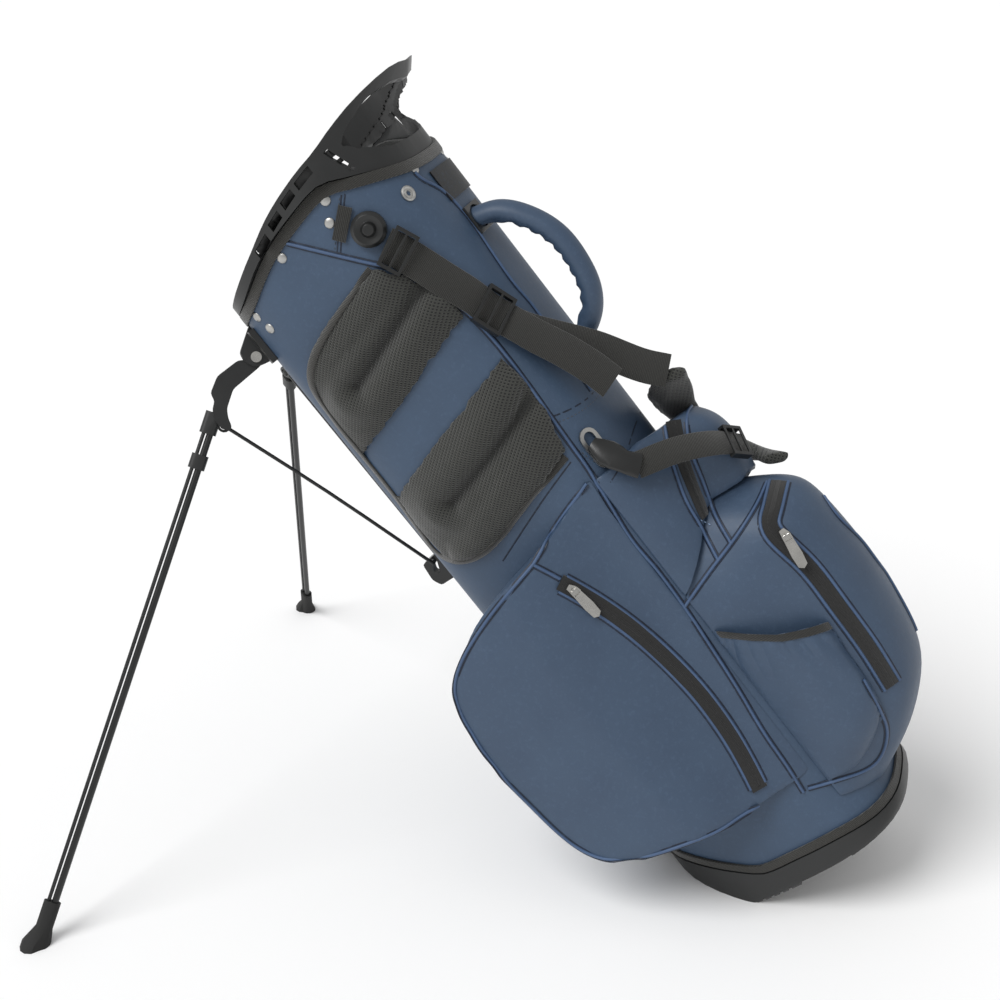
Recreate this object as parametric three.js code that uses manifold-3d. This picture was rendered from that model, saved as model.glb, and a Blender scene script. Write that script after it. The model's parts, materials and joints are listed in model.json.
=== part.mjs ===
import * as THREE from "three";
import { mergeVertices } from "three/addons/utils/BufferGeometryUtils.js";
import Module from "manifold-3d";

// A golf stand bag that leans on its two open legs. Sizes are millimetres.
// In the bag's own frame x runs from the legs to the spine, y from the near side to the far side
// and z up along the tube, from the flat of the base. The whole bag then leans over its heel.
// An outline is a list of shares: of the tube's half depth, half width and height.

// Tube
const leanDegrees = 39.56;
const tubeHalfDepth = 125;
const tubeHalfWidth = 101;
const tubeHeight = 835;
const tubeSquareness = 2.8;
const tubeStepDegrees = 6;
const shellWall = 2.4;
const seatGap = 0.5;
const runningGap = 0.35;
const overrun = 60;

// Base
const heelEdge = 51;
const soleThickness = 8;
const pedalBayThickness = 13;
const cupWall = 3.5;
const soleRound = 9;
const spineRound = 5;
const treadDepth = 2.4;
const treadWidth = 5;
const treadPitch = 11;
const treadCount = 4;
const archDepth = 4;
const archLow = 0;
const baseBindingHeight = 10;
const baseBindingThickness = 2.6;
const baseEdgeShares = [
  [-1, 0.1138], [-0.696, 0.0946], [-0.328, 0.0611], [-0.168, 0.0479], [0.16, 0.0467],
  [0.536, 0.0443], [0.872, 0.0359], [1.016, 0.0323],
];

// Pedal
const pedalHalfWidth = 42;
const pedalThickness = 4;
const pedalLift = 0.5;
const pedalPinSetback = 18;
const pedalPinHeight = 5;
const pedalPinRadius = 2;
const pedalBarrelRadius = 4.2;
const pedalPinOverhang = 6;
const pedalTab = 12;

// Top edge and its binding
const topBandHeight = 12;
const topBandThickness = 2;
const topEdgeShares = [
  [-1, 0.9401], [-0.64, 0.9521], [-0.184, 0.9796], [0.176, 0.9928], [0.472, 0.9988],
  [0.624, 0.9892], [0.824, 0.9749], [0.952, 0.9641], [1.008, 0.9593],
];

// Cuff
const cuffWall = 3;
const cuffSkirt = 28;
const cuffReach = 8;
const hornReach = 35;
const lipThickening = 4;
const cuffLedge = 4;
const cuffReachShares = [[0, -0.1], [20, -0.1], [38, -0.05], [46, 0.35], [60, 1], [115, 0.85], [140, 0.3], [180, 0]];
const lipReachShares = [[0, 0.93], [10, 0.86], [23, 0.5], [28, 0.24], [34, 0.1], [41, 0], [180, 0]];
const hornReachShares = [[0, 1], [10, 0.92], [23, 0.58], [30, 0.28], [41, 0.04], [48, 0], [180, 0]];
const rimHeightShares = [
  [0, 1.0635], [10, 1.0671], [25, 1.0635], [40, 1.0539], [52, 1.0449], [65, 1.0383],
  [90, 1.0216], [113, 0.9988], [131, 0.982], [145, 0.9725], [160, 0.9689], [180, 0.9713],
];
const collarTopShares = [[0, 0.235], [15, 0.235], [23, 0.25], [37.5, 0.46], [42, 0.55], [52, 0.5], [60, 0.42], [180, 0.42]];
const lipFootShares = [[0, 0.84], [15, 0.87], [23, 0.9], [37.5, 0.76], [42, 0.73], [52, 0.72], [180, 0.72]];
const handGapDegrees = 40;
const windowShares = [
  [[0.368, 1.0222], [0.528, 1.0275], [0.528, 1.0371], [0.368, 1.0317]],
  [[0.184, 1.015], [0.32, 1.0204], [0.32, 1.0299], [0.184, 1.0251]],
  [[-0.008, 1.0054], [0.128, 1.0114], [0.128, 1.021], [-0.008, 1.0156]],
  [[-0.24, 0.9922], [-0.072, 1], [-0.072, 1.0102], [-0.24, 1.0024]],
];
const slotShares = [[0.656, 1.0371], [0.688, 1.0383], [0.752, 1.0036], [0.72, 1.0024]];
const linerThickness = 4;
const linerDepth = 20;

// Club dividers and stays
const dividerWall = 3;
const dividerBar = 8;
const dividerBarHeight = 25;
const dividerSpacing = 38;
const dividerSetback = 11;
const dividerDrop = 6;
const stayRadius = 3;

// Legs
const pivotSetoff = 8.6;
const pivotSpread = 56;
const pivotHeight = 759;
const legSplayDegrees = 34.07;
const armReach = 68;
const armWidth = 14;
const armGap = 0.6;
const cheekWall = 4;
const bracketThickness = 5.5;
const bracketFoot = 744;
const bracketTop = 783;
const bracketHalfDegrees = 35;
const pinRadius = 3;
const pinHead = 5.5;
const pinHeadThickness = 1.6;
const cheekShares = [
  [-0.441, 0.397], [-0.221, 0.426], [0.147, 0.191], [0.176, 0.044], [0.118, -0.088],
  [0.015, -0.147], [-0.191, -0.191], [-0.441, -0.206],
];
const armShares = [
  [-0.103, 0.074], [-0.029, 0.132], [0.088, 0.118], [0.147, 0.059], [0.235, 0.125],
  [0.618, 0.132], [0.853, 0], [0.882, -0.132], [0.971, -0.191], [1.059, -0.324],
  [1.059, -0.485], [1.015, -0.588], [0.926, -0.588], [0.882, -0.441], [0.809, -0.324],
  [0.559, -0.162], [0.059, -0.147], [-0.074, -0.118],
];
const armRound = 3;
const tubeSlopeDegrees = 32.65;
const legTubeRadius = 3.5;
const legRodRadius = 2;
const legRodOffset = 6.4;
const legTubeDrop = 21;
const socketLength = 20;
const socketWall = 2.6;
const legLength = 529;
const legTubeInset = 12;
const clipStart = 22;
const clipLength = 15;
const footLength = 30;
const footRadius = 10;
const footToe = 13;

// Brace wires and the rod that the pedal works
const wireRadius = 2;
const ballRadius = 4;
const ballStemRadius = 2.4;
const ballOffset = 15;
const ballDrop = 34;
const eyeRadius = 7;
const eyeWidth = 5;
const wireEndSetoff = 28;
const wireEndSpread = 8.6;
const wireEndHeight = 472;
const hookLength = 7;
const wireBow = 6;
const slotDrop = 9.2;
const slotShift = 4.1;
const rodSetoff = 8;
const rodRadius = 2.5;
const headThickness = 10;
const headLow = 446;
const headHigh = 481;
const headDepth = 36;
const sleeveWall = 2.2;
const sleeveLow = 112;
const sleeveHigh = 385;

// Side pockets
const apparelFootShares = [
  [-0.96, 0.1784], [-0.72, 0.1629], [-0.48, 0.1521], [-0.128, 0.1413], [0.24, 0.1305],
  [0.528, 0.1269],
];
const apparelTopShares = [
  [-1.104, 0.4647], [-0.856, 0.4898], [-0.48, 0.5186], [0.032, 0.5353], [0.288, 0.5449],
  [0.712, 0.5665],
];
const apparelLegShares = [
  [-0.96, 0.1784], [-1.104, 0.2036], [-1.208, 0.2527], [-1.272, 0.3425], [-1.208, 0.4251],
  [-1.104, 0.4647],
];
const apparelSpineShares = [
  [0.528, 0.1246], [0.616, 0.2347], [0.64, 0.3114], [0.664, 0.3808], [0.672, 0.4802],
  [0.712, 0.5665],
];
const apparelSwell = 70;
const apparelEdge = 3;
const apparelSwellShares = [[0, 1], [0.3, 0.95], [0.5, 0.86], [0.63, 0.66], [0.77, 0.36], [0.9, 0.12], [1, 0]];
const apparelCrown = 6;
const apparelBackDegrees = [-150, -46];
const apparelColumns = 20;
const apparelRows = 10;

// Side pocket zips
const zipWidth = 13;
const zipThickness = 1.4;
const zipStandoff = 1.1;
const ballZipStandoff = 1.8;
const sliderLength = 13;
const sliderWidth = 9;
const sliderHeight = 5;
const sliderClearance = 0.8;
const ballSliderClearance = 2.4;
const pullLength = 36;
const pullWidth = 11;
const pullThickness = 2;
const ballZipShares = [[-17, 0.3952], [-17.5, 0.2731], [-17, 0.1533]];
const ballZipWidthDegrees = 2.4;
const valuablesZipWidthDegrees = 2.6;
const apparelZipShares = [[0.136, 0.4958], [0.36, 0.3593], [0.32, 0.1449]];

// Ball pocket
const ballReach = 110;
const ballThin = 2;
const ballAcrossShares = [
  [-43, 0], [-38, 0.1], [-33, 0.21], [-28, 0.33], [-24, 0.46], [-21, 0.6], [-19, 0.7], [-16, 0.83], [-12, 0.92], [-6, 0.98],
  [0, 1], [6, 0.98], [12, 0.92], [16, 0.83], [19, 0.7], [21, 0.6], [24, 0.46], [28, 0.33], [33, 0.21], [38, 0.1], [43, 0],
];
const ballUpShares = [
  [0, 0], [0.07, 0.38], [0.14, 0.62], [0.22, 0.84], [0.32, 0.93], [0.45, 0.98], [0.58, 1], [0.7, 0.98], [0.8, 0.95],
  [0.86, 0.87], [0.91, 0.62], [0.96, 0.3], [1, 0],
];
const ballFootShares = [
  [-43, 0.0743], [-20, 0.0479], [0, 0.0431], [20, 0.0479], [43, 0.0743],
];
const ballTopShares = [
  [-43, 0.3856], [-30, 0.4192], [-18, 0.4527], [0, 0.4743], [18, 0.4527], [30, 0.4192],
  [43, 0.3856],
];

// Bottle pocket
const bottleWall = 2.2;
const bottleBulge = 22;
const bottleLift = 1.8;
const bottleAcrossShares = [[-43, 0], [-38, 0.62], [-33, 0.95], [-28, 1], [-24, 0.75], [-21, 0]];
const bottleUpShares = [[0, 0], [0.1, 0.55], [0.25, 0.9], [0.5, 1], [0.8, 1], [1, 0.9]];
const bottleFootShares = [[-43, 0.1006], [-33, 0.0958], [-26, 0.1054], [-21, 0.1341]];
const bottleMouthShares = [[-43, 0.3353], [-33, 0.297], [-26, 0.2802], [-21, 0.2707]];
const elasticHeight = 9;
const elasticThickness = 1.2;

// Valuables pocket
const valuablesReach = 68;
const valuablesAcrossShares = [
  [-43, 0.02], [-39, 0.1], [-33, 0.17], [-27, 0.24], [-21, 0.3], [-15, 0.36], [-10, 0.45], [-6, 0.72], [-3, 0.92],
  [0, 1], [6, 1], [12, 0.97], [18, 0.88], [24, 0.7], [30, 0.46], [36, 0.22], [42, 0.04],
];
const valuablesUpShares = [[0, 0.92], [0.3, 1], [0.6, 1], [0.85, 0.86], [1, 0.7]];
const valuablesTopShares = [[-43, 0.5629], [-15, 0.5605], [0, 0.5509], [20, 0.5389], [42, 0.5269]];
const valuablesOverhang = 26;
const valuablesZipShares = [[-11, 0.5413], [-13.5, 0.509], [-16.5, 0.4731], [-20, 0.4359]];

// Hip pads
const hipPadEdge = 3;
const hipPadCrown = 9;
const hipPadChannel = 6;
const upperPadFootShares = [[-0.72, 0.7401], [-0.24, 0.7581], [0.24, 0.7796], [0.728, 0.8012]];
const upperPadTopShares = [[-0.64, 0.8527], [-0.416, 0.8766], [-0.048, 0.8946], [0.44, 0.9066]];
const upperPadLegShares = [[-0.72, 0.7401], [-0.744, 0.7665], [-0.72, 0.8263], [-0.64, 0.8527]];
const upperPadSpineShares = [[0.728, 0.8012], [0.704, 0.8311], [0.592, 0.8731], [0.44, 0.9066]];
const lowerPadFootShares = [
  [-0.64, 0.5677], [-0.352, 0.5629], [-0.144, 0.5689], [0.32, 0.5904], [0.696, 0.6096],
];
const lowerPadTopShares = [[-0.704, 0.679], [-0.24, 0.6994], [0.24, 0.7198], [0.736, 0.7413]];
const lowerPadLegShares = [[-0.64, 0.5677], [-0.72, 0.5892], [-0.736, 0.6192], [-0.704, 0.679]];
const lowerPadSpineShares = [[0.696, 0.6096], [0.736, 0.6407], [0.768, 0.6946], [0.736, 0.7413]];

// Carry handle and label patch
const handleHalfWidth = 15;
const handleHalfThickness = 11;
const handleShares = [
  [1.011, 0, 0.8778], [1.2, 0, 0.8671], [1.36, 0, 0.8383], [1.448, 0, 0.8048],
  [1.448, 0, 0.7665], [1.392, 0, 0.7329], [1.272, 0, 0.709], [1.011, 0, 0.6874],
];
const handleRingMargin = 4;
const handleRingThickness = 3;
const patchThickness = 1.6;
const patchLowDegrees = -11;
const patchHighDegrees = 25;
const patchLow = 760;
const patchHigh = 794;

// Shoulder strap
const webWidth = 33;
const webThickness = 2.2;
const tailShares = [
  [0.885, -0.723, 0.7868], [0.932, -0.703, 0.7677], [1.024, -0.673, 0.7341],
  [1.12, -0.653, 0.7042], [1.2, -0.614, 0.6707], [1.248, -0.574, 0.6395],
];
const tailNormals = [
  [0.76, -0.65, 0], [0.74, -0.67, 0], [0.7, -0.71, 0], [0.66, -0.75, 0], [0.64, -0.77, 0],
  [0.62, -0.78, 0.05],
];
const stubShares = [[0.414, -0.993, 0.9713], [0.478, -0.969, 0.9593]];
const stubNormals = [[0.17, -0.98, 0], [0.22, -0.97, 0]];
const hubRadius = 17;
const hubThickness = 9;
const hubShares = [[0.571, -0.923, 0.9425]];
const ladderLength = 24;
const upperWebShares = [
  [0.613, -0.956, 0.9186], [0.658, -0.941, 0.9042], [0.717, -0.906, 0.879],
  [0.781, -0.857, 0.8479], [0.842, -0.791, 0.8168], [0.885, -0.723, 0.7868],
  [0.968, -0.619, 0.7485], [1.144, -0.396, 0.7006], [1.24, -0.277, 0.6743],
  [1.392, -0.178, 0.6311], [1.52, -0.099, 0.6048],
];
const upperWebNormals = [
  [0.35, -0.94, 0], [0.4, -0.92, 0], [0.48, -0.88, 0], [0.58, -0.815, 0], [0.68, -0.735, 0],
  [0.76, -0.65, 0], [0.72, -0.68, 0.05], [0.62, -0.77, 0.05], [0.58, -0.8, 0.05],
  [0.54, -0.82, 0.1], [0.5, -0.84, 0.12],
];
const frameMargin = 4;
const frameLift = 3.4;
const frameWall = 2;
const adjusterLength = 30;
const lowerAdjusterLength = 26;
const ladderPlaceShare = 0.1;
const adjusterPlaceShare = 0.5;
const lowerAdjusterPlaceShare = 0.86;
const lowerWebWidth = 26;
const lowerWebShares = [
  [1.136, -0.772, 0.5377], [1.318, -0.545, 0.5329], [1.52, -0.267, 0.5078],
  [1.626, 0.079, 0.4746],
];
const lowerWebNormals = [[0.6, -0.8, 0.1], [0.72, -0.65, 0.2], [0.85, -0.45, 0.25], [0.96, -0.1, 0.22]];
const grommetLength = 44;
const grommetWidth = 20;
const grommetWall = 4;
const grommetThickness = 3;
const grommetHeightShare = 0.5904;
const grommetDegrees = -33.5;
const buckleWidth = 27;
const buckleThickness = 9;
const buckleShares = [
  [0.88, -0.782, 0.5988], [0.944, -0.812, 0.582], [1.016, -0.832, 0.5629],
  [1.088, -0.796, 0.5471],
];
const shoulderPadWidth = 56;
const shoulderPadThickness = 14;
const shoulderPadTaper = [0.6, 0.9, 1, 1, 1, 0.9, 0.66, 0.5];
const shoulderPadShares = [
  [1.513, -0.081, 0.6025], [1.32, 0.297, 0.5749], [1.2, 0.713, 0.5485], [1.216, 0.921, 0.5174],
  [1.328, 0.891, 0.4814], [1.488, 0.752, 0.4527], [1.624, 0.515, 0.4359],
  [1.696, 0.297, 0.4323],
];
const shoulderPadNormals = [
  [0, 0.63, 0.77], [0.1, 0.7, 0.6], [0.3, 0.85, 0.3], [0.5, 0.85, 0.1], [0.65, 0.75, 0],
  [0.75, 0.6, 0.2], [0.6, 0.5, 0.6], [0.35, 0.2, 0.9],
];

// Materials
const navyLeather = () => new THREE.MeshStandardMaterial({ color: 0x465b76, roughness: 0.62, metalness: 0 });
const blackPlastic = () => new THREE.MeshStandardMaterial({ color: 0x1f2020, roughness: 0.45, metalness: 0 });
const blackWebbing = () => new THREE.MeshStandardMaterial({ color: 0x2f2f2e, roughness: 0.9, metalness: 0 });
const blackMesh = () => new THREE.MeshStandardMaterial({ color: 0x262725, roughness: 0.95, metalness: 0 });
const blackMetal = () => new THREE.MeshStandardMaterial({ color: 0x151515, roughness: 0.35, metalness: 0.6 });
const blackRubber = () => new THREE.MeshStandardMaterial({ color: 0x191919, roughness: 0.85, metalness: 0 });
const brightMetal = () => new THREE.MeshStandardMaterial({ color: 0xb9b9b6, roughness: 0.25, metalness: 1 });

// Tables and curves
const lean = THREE.MathUtils.degToRad(leanDegrees);
const degrees = THREE.MathUtils.degToRad;

function lerpAt(table, x) {
  let i = 0;
  while (i < table.length - 2 && x > table[i + 1][0]) i++;
  const [x0, y0] = table[i];
  const [x1, y1] = table[i + 1];
  const t = THREE.MathUtils.clamp((x - x0) / (x1 - x0), 0, 1);
  return y0 + (y1 - y0) * t;
}

function smoothAt(table, x) {
  let i = 0;
  while (i < table.length - 2 && x > table[i + 1][0]) i++;
  const slopeAt = (k) => {
    const a = table[Math.max(k - 1, 0)];
    const b = table[Math.min(k + 1, table.length - 1)];
    return (b[1] - a[1]) / (b[0] - a[0]);
  };
  const [x0, y0] = table[i];
  const [x1, y1] = table[i + 1];
  const step = x1 - x0;
  const t = THREE.MathUtils.clamp((x - x0) / step, 0, 1);
  const s = t * t;
  const c = s * t;
  const ends = (2 * c - 3 * s + 1) * y0 + (3 * s - 2 * c) * y1;
  return ends + step * ((c - 2 * s + t) * slopeAt(i) + (c - s) * slopeAt(i + 1));
}

const range = (count, from = 0, to = 1) =>
  Array.from({ length: count + 1 }, (_, i) => from + ((to - from) * i) / count);

// The tube's section, a squared oval
function ovalRadius(angle, grow = 0) {
  const c = Math.abs(Math.cos(angle)) / (tubeHalfDepth + grow);
  const s = Math.abs(Math.sin(angle)) / (tubeHalfWidth + grow);
  return Math.pow(c ** tubeSquareness + s ** tubeSquareness, -1 / tubeSquareness);
}

function onTube(angle, height, grow = 0) {
  const radius = ovalRadius(angle, grow);
  return new THREE.Vector3(radius * Math.cos(angle), radius * Math.sin(angle), height);
}

const depthShareAt = (angle) => (ovalRadius(angle) * Math.cos(angle)) / tubeHalfDepth;

function sideAngle(depthShare) {
  const s = THREE.MathUtils.clamp(depthShare, -1, 1);
  const width = tubeHalfWidth * Math.pow(1 - Math.abs(s) ** tubeSquareness, 1 / tubeSquareness);
  return Math.atan2(-width, s * tubeHalfDepth);
}

const tubeAngles = range(360 / tubeStepDegrees, -180, 180).slice(0, -1).map(degrees);
const shareCurve = (shares) => {
  const curve = new THREE.SplineCurve(shares.map(([x, y]) => new THREE.Vector2(x, y)));
  return (t) => curve.getPointAt(THREE.MathUtils.clamp(t, 0, 1));
};
const sharePoints = (shares) =>
  shares.map(([b, y, h]) => new THREE.Vector3(b * tubeHalfDepth, y * tubeHalfWidth, h * tubeHeight));

// A patch between four edge curves: u runs from the legs' side to the spine, v from foot to top
function patchBetween(footShares, topShares, legShares, spineShares) {
  const foot = shareCurve(footShares);
  const top = shareCurve(topShares);
  const leg = shareCurve(legShares);
  const spine = shareCurve(spineShares);
  return (u, v) => {
    const point = foot(u).multiplyScalar(1 - v).add(top(u).multiplyScalar(v));
    point.add(leg(v).multiplyScalar(1 - u)).add(spine(v).multiplyScalar(u));
    point.sub(foot(0).multiplyScalar((1 - u) * (1 - v))).sub(foot(1).multiplyScalar(u * (1 - v)));
    return point.sub(top(0).multiplyScalar((1 - u) * v)).sub(top(1).multiplyScalar(u * v));
  };
}

// Solids
function closedGeometry(points, triangles) {
  let volume = 0;
  for (const [a, b, c] of triangles)
    volume += points[a].dot(new THREE.Vector3().crossVectors(points[b], points[c]));
  const faces = volume < 0 ? triangles.map(([a, b, c]) => [a, c, b]) : triangles;
  const geometry = new THREE.BufferGeometry().setFromPoints(points);
  geometry.setIndex(faces.flat());
  return geometry;
}

// Rings of equal counts, joined in turn; a loop closes on itself, otherwise both ends are capped
function loft(rings, loop = false) {
  const count = rings[0].length;
  const points = rings.flat();
  const triangles = [];
  const last = loop ? rings.length : rings.length - 1;
  for (let r = 0; r < last; r++)
    for (let i = 0; i < count; i++) {
      const a = r * count + i;
      const b = r * count + ((i + 1) % count);
      const c = ((r + 1) % rings.length) * count + ((i + 1) % count);
      const d = ((r + 1) % rings.length) * count + i;
      triangles.push([a, b, c], [a, c, d]);
    }
  if (!loop)
    for (const end of [0, rings.length - 1]) {
      const centre = points.length;
      const sum = rings[end].reduce((s, p) => s.add(p), new THREE.Vector3());
      points.push(sum.divideScalar(count));
      for (let i = 0; i < count; i++) {
        const edge = [end * count + i, end * count + ((i + 1) % count)];
        triangles.push(end ? [...edge, centre] : [edge[1], edge[0], centre]);
      }
    }
  return closedGeometry(points, triangles);
}

// A sheet with a front and a back, over a grid of u and v
function sheet(us, vs, front, back) {
  const points = [front, back].flatMap((face) => vs.flatMap((v) => us.map((u) => face(u, v))));
  const columns = us.length;
  const rows = vs.length;
  const at = (layer, column, row) => (layer * rows + row) * columns + column;
  const triangles = [];
  const quad = (a, b, c, d) => triangles.push([a, b, c], [a, c, d]);
  for (let r = 0; r < rows - 1; r++)
    for (let c = 0; c < columns - 1; c++) {
      quad(at(0, c, r), at(0, c + 1, r), at(0, c + 1, r + 1), at(0, c, r + 1));
      quad(at(1, c, r), at(1, c, r + 1), at(1, c + 1, r + 1), at(1, c + 1, r));
    }
  for (let c = 0; c < columns - 1; c++) {
    quad(at(1, c, 0), at(1, c + 1, 0), at(0, c + 1, 0), at(0, c, 0));
    quad(at(0, c, rows - 1), at(0, c + 1, rows - 1), at(1, c + 1, rows - 1), at(1, c, rows - 1));
  }
  for (let r = 0; r < rows - 1; r++) {
    quad(at(0, 0, r), at(0, 0, r + 1), at(1, 0, r + 1), at(1, 0, r));
    quad(at(1, columns - 1, r), at(1, columns - 1, r + 1), at(0, columns - 1, r + 1), at(0, columns - 1, r));
  }
  return closedGeometry(points, triangles);
}

const tubeRing = (section) => loft(tubeAngles.map((angle) => section(angle)), true);
const ovalRing = (grow, height) =>
  tubeAngles.map((angle) =>
    onTube(angle, typeof height === "function" ? height(angle) : height, typeof grow === "function" ? grow(angle) : grow));

function circle(centre, axis, radius, sides) {
  const across = new THREE.Vector3(0, 0, 1).cross(axis);
  if (across.lengthSq() < 1e-6) across.set(1, 0, 0);
  across.normalize();
  const up = new THREE.Vector3().crossVectors(axis, across).normalize();
  return range(sides, 0, 2 * Math.PI).slice(0, -1).map((turn) =>
    centre.clone().addScaledVector(across, radius * Math.cos(turn)).addScaledVector(up, radius * Math.sin(turn)));
}

function rodBetween(from, to, radius, sides = 12, endRadius = radius) {
  const axis = to.clone().sub(from).normalize();
  return loft([circle(from, axis, radius, sides), circle(to, axis, endRadius, sides)]);
}

// A strip along a path, flat or with a rounded section, facing along its normals
function strip(path, normals, width, thickness, sides = 4, taper = [1, 1]) {
  const rings = path.map((point, i) => {
    const before = path[Math.max(i - 1, 0)];
    const after = path[Math.min(i + 1, path.length - 1)];
    const along = after.clone().sub(before).normalize();
    const across = new THREE.Vector3().crossVectors(normals[i], along).normalize();
    const face = new THREE.Vector3().crossVectors(along, across).normalize();
    const place = (i / (path.length - 1)) * (taper.length - 1);
    const k = Math.min(Math.floor(place), taper.length - 2);
    const size = THREE.MathUtils.lerp(taper[k], taper[k + 1], place - k) / 2;
    const section = sides === 4
      ? [[-1, -1], [1, -1], [1, 1], [-1, 1]]
      : range(sides, 0, 2 * Math.PI).slice(0, -1).map((turn) => [Math.cos(turn), Math.sin(turn)]);
    return section.map(([a, f]) =>
      point.clone().addScaledVector(across, a * size * width).addScaledVector(face, f * size * thickness));
  });
  return loft(rings);
}

function splinePath(points, steps) {
  return new THREE.CatmullRomCurve3(points, false, "centripetal").getPoints(steps);
}

// Cuts and joins
const wasm = await Module();
wasm.setup();

// A round bar along a path of points
function tubeAlong(path, radius, sides) {
  return loft(path.map((point, i) => {
    const along = path[Math.min(i + 1, path.length - 1)].clone().sub(path[Math.max(i - 1, 0)]).normalize();
    const across = new THREE.Vector3().crossVectors(along, new THREE.Vector3(0, 0, 1)).normalize();
    const up = new THREE.Vector3().crossVectors(across, along);
    return range(sides, 0, 2 * Math.PI).slice(0, -1).map((turn) =>
      point.clone().addScaledVector(across, radius * Math.cos(turn)).addScaledVector(up, radius * Math.sin(turn)));
  }));
}

function manifoldOf(geometry) {
  const bare = new THREE.BufferGeometry();
  bare.setAttribute("position", geometry.getAttribute("position").clone());
  if (geometry.index) bare.setIndex(geometry.index.clone());
  const merged = mergeVertices(bare, 1e-4);
  const vertProperties = new Float32Array(merged.getAttribute("position").array);
  const triVerts = new Uint32Array(merged.index.array);
  return new wasm.Manifold(new wasm.Mesh({ numProp: 3, vertProperties, triVerts }));
}

function geometryOf(manifold) {
  const mesh = manifold.getMesh();
  const geometry = new THREE.BufferGeometry();
  geometry.setAttribute("position", new THREE.BufferAttribute(new Float32Array(mesh.vertProperties), 3));
  geometry.setIndex(new THREE.BufferAttribute(new Uint32Array(mesh.triVerts), 1));
  return geometry;
}

const join = (...geometries) => geometryOf(geometries.map(manifoldOf).reduce((a, b) => a.add(b)));
const cut = (geometry, ...cutters) =>
  geometryOf(cutters.map(manifoldOf).reduce((a, b) => a.subtract(b), manifoldOf(geometry)));
const overlapOf = (a, b) => geometryOf(manifoldOf(a).intersect(manifoldOf(b)));

// A plate cut from an outline in x and z, of the given thickness along y
function plate(outline, thickness, round = 0) {
  const shape = new THREE.Shape();
  const count = outline.length;
  outline.forEach(([x, z], i) => {
    if (!round) return i ? shape.lineTo(x, z) : shape.moveTo(x, z);
    const corner = new THREE.Vector2(x, z);
    const before = new THREE.Vector2(...outline[(i + count - 1) % count]).sub(corner);
    const after = new THREE.Vector2(...outline[(i + 1) % count]).sub(corner);
    const setback = Math.min(round, before.length() / 2.1, after.length() / 2.1);
    const enter = before.setLength(setback).add(corner);
    const leave = after.setLength(setback).add(corner);
    if (i) shape.lineTo(enter.x, enter.y);
    else shape.moveTo(enter.x, enter.y);
    shape.quadraticCurveTo(corner.x, corner.y, leave.x, leave.y);
  });
  shape.closePath();
  const geometry = new THREE.ExtrudeGeometry(shape, { depth: thickness, bevelEnabled: false, curveSegments: 2 });
  geometry.translate(0, 0, -thickness / 2).rotateX(Math.PI / 2);
  return geometry;
}

function block(x0, x1, y0, y1, z0, z1) {
  return new THREE.BoxGeometry(x1 - x0, y1 - y0, z1 - z0).translate((x0 + x1) / 2, (y0 + y1) / 2, (z0 + z1) / 2);
}

function piece(name, geometry, material) {
  geometry.deleteAttribute("uv");
  geometry.computeVertexNormals();
  const mesh = new THREE.Mesh(geometry, material);
  mesh.name = name;
  return mesh;
}

// Heights that follow the section
const slope = Math.tan(lean);
const bandFoot = (angle) => smoothAt(topEdgeShares, depthShareAt(angle)) * tubeHeight;
const bandTop = (angle) => bandFoot(angle) + topBandHeight;
const shellTop = (angle) => bandTop(angle) - topBandThickness - seatGap;
const baseBindingTop = (angle) => smoothAt(baseEdgeShares, depthShareAt(angle)) * tubeHeight;
const baseBindingFoot = (angle) => baseBindingTop(angle) - baseBindingHeight;
const cupTop = (angle) => baseBindingFoot(angle) - seatGap;
const bayFloorAt = (x) => (pedalBayThickness / Math.cos(lean)) - slope * (x + heelEdge);
const shellFoot = (angle) =>
  Math.max(soleThickness, bayFloorAt(ovalRadius(angle) * Math.cos(angle))) + seatGap;

// Everything below the floor that the leaning bag stands on, raised by a height
function belowFloor(raise = 0) {
  const size = 2 * tubeHeight;
  const ground = new THREE.BoxGeometry(size, size, size).translate(0, 0, raise - size / 2);
  return ground.rotateY(lean).translate(-heelEdge, 0, 0);
}

// Shell
function shellGeometry() {
  return tubeRing((angle) => [
    onTube(angle, shellFoot(angle)),
    onTube(angle, shellTop(angle)),
    onTube(angle, shellTop(angle), -shellWall),
    onTube(angle, shellFoot(angle), -shellWall),
  ]);
}

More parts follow.
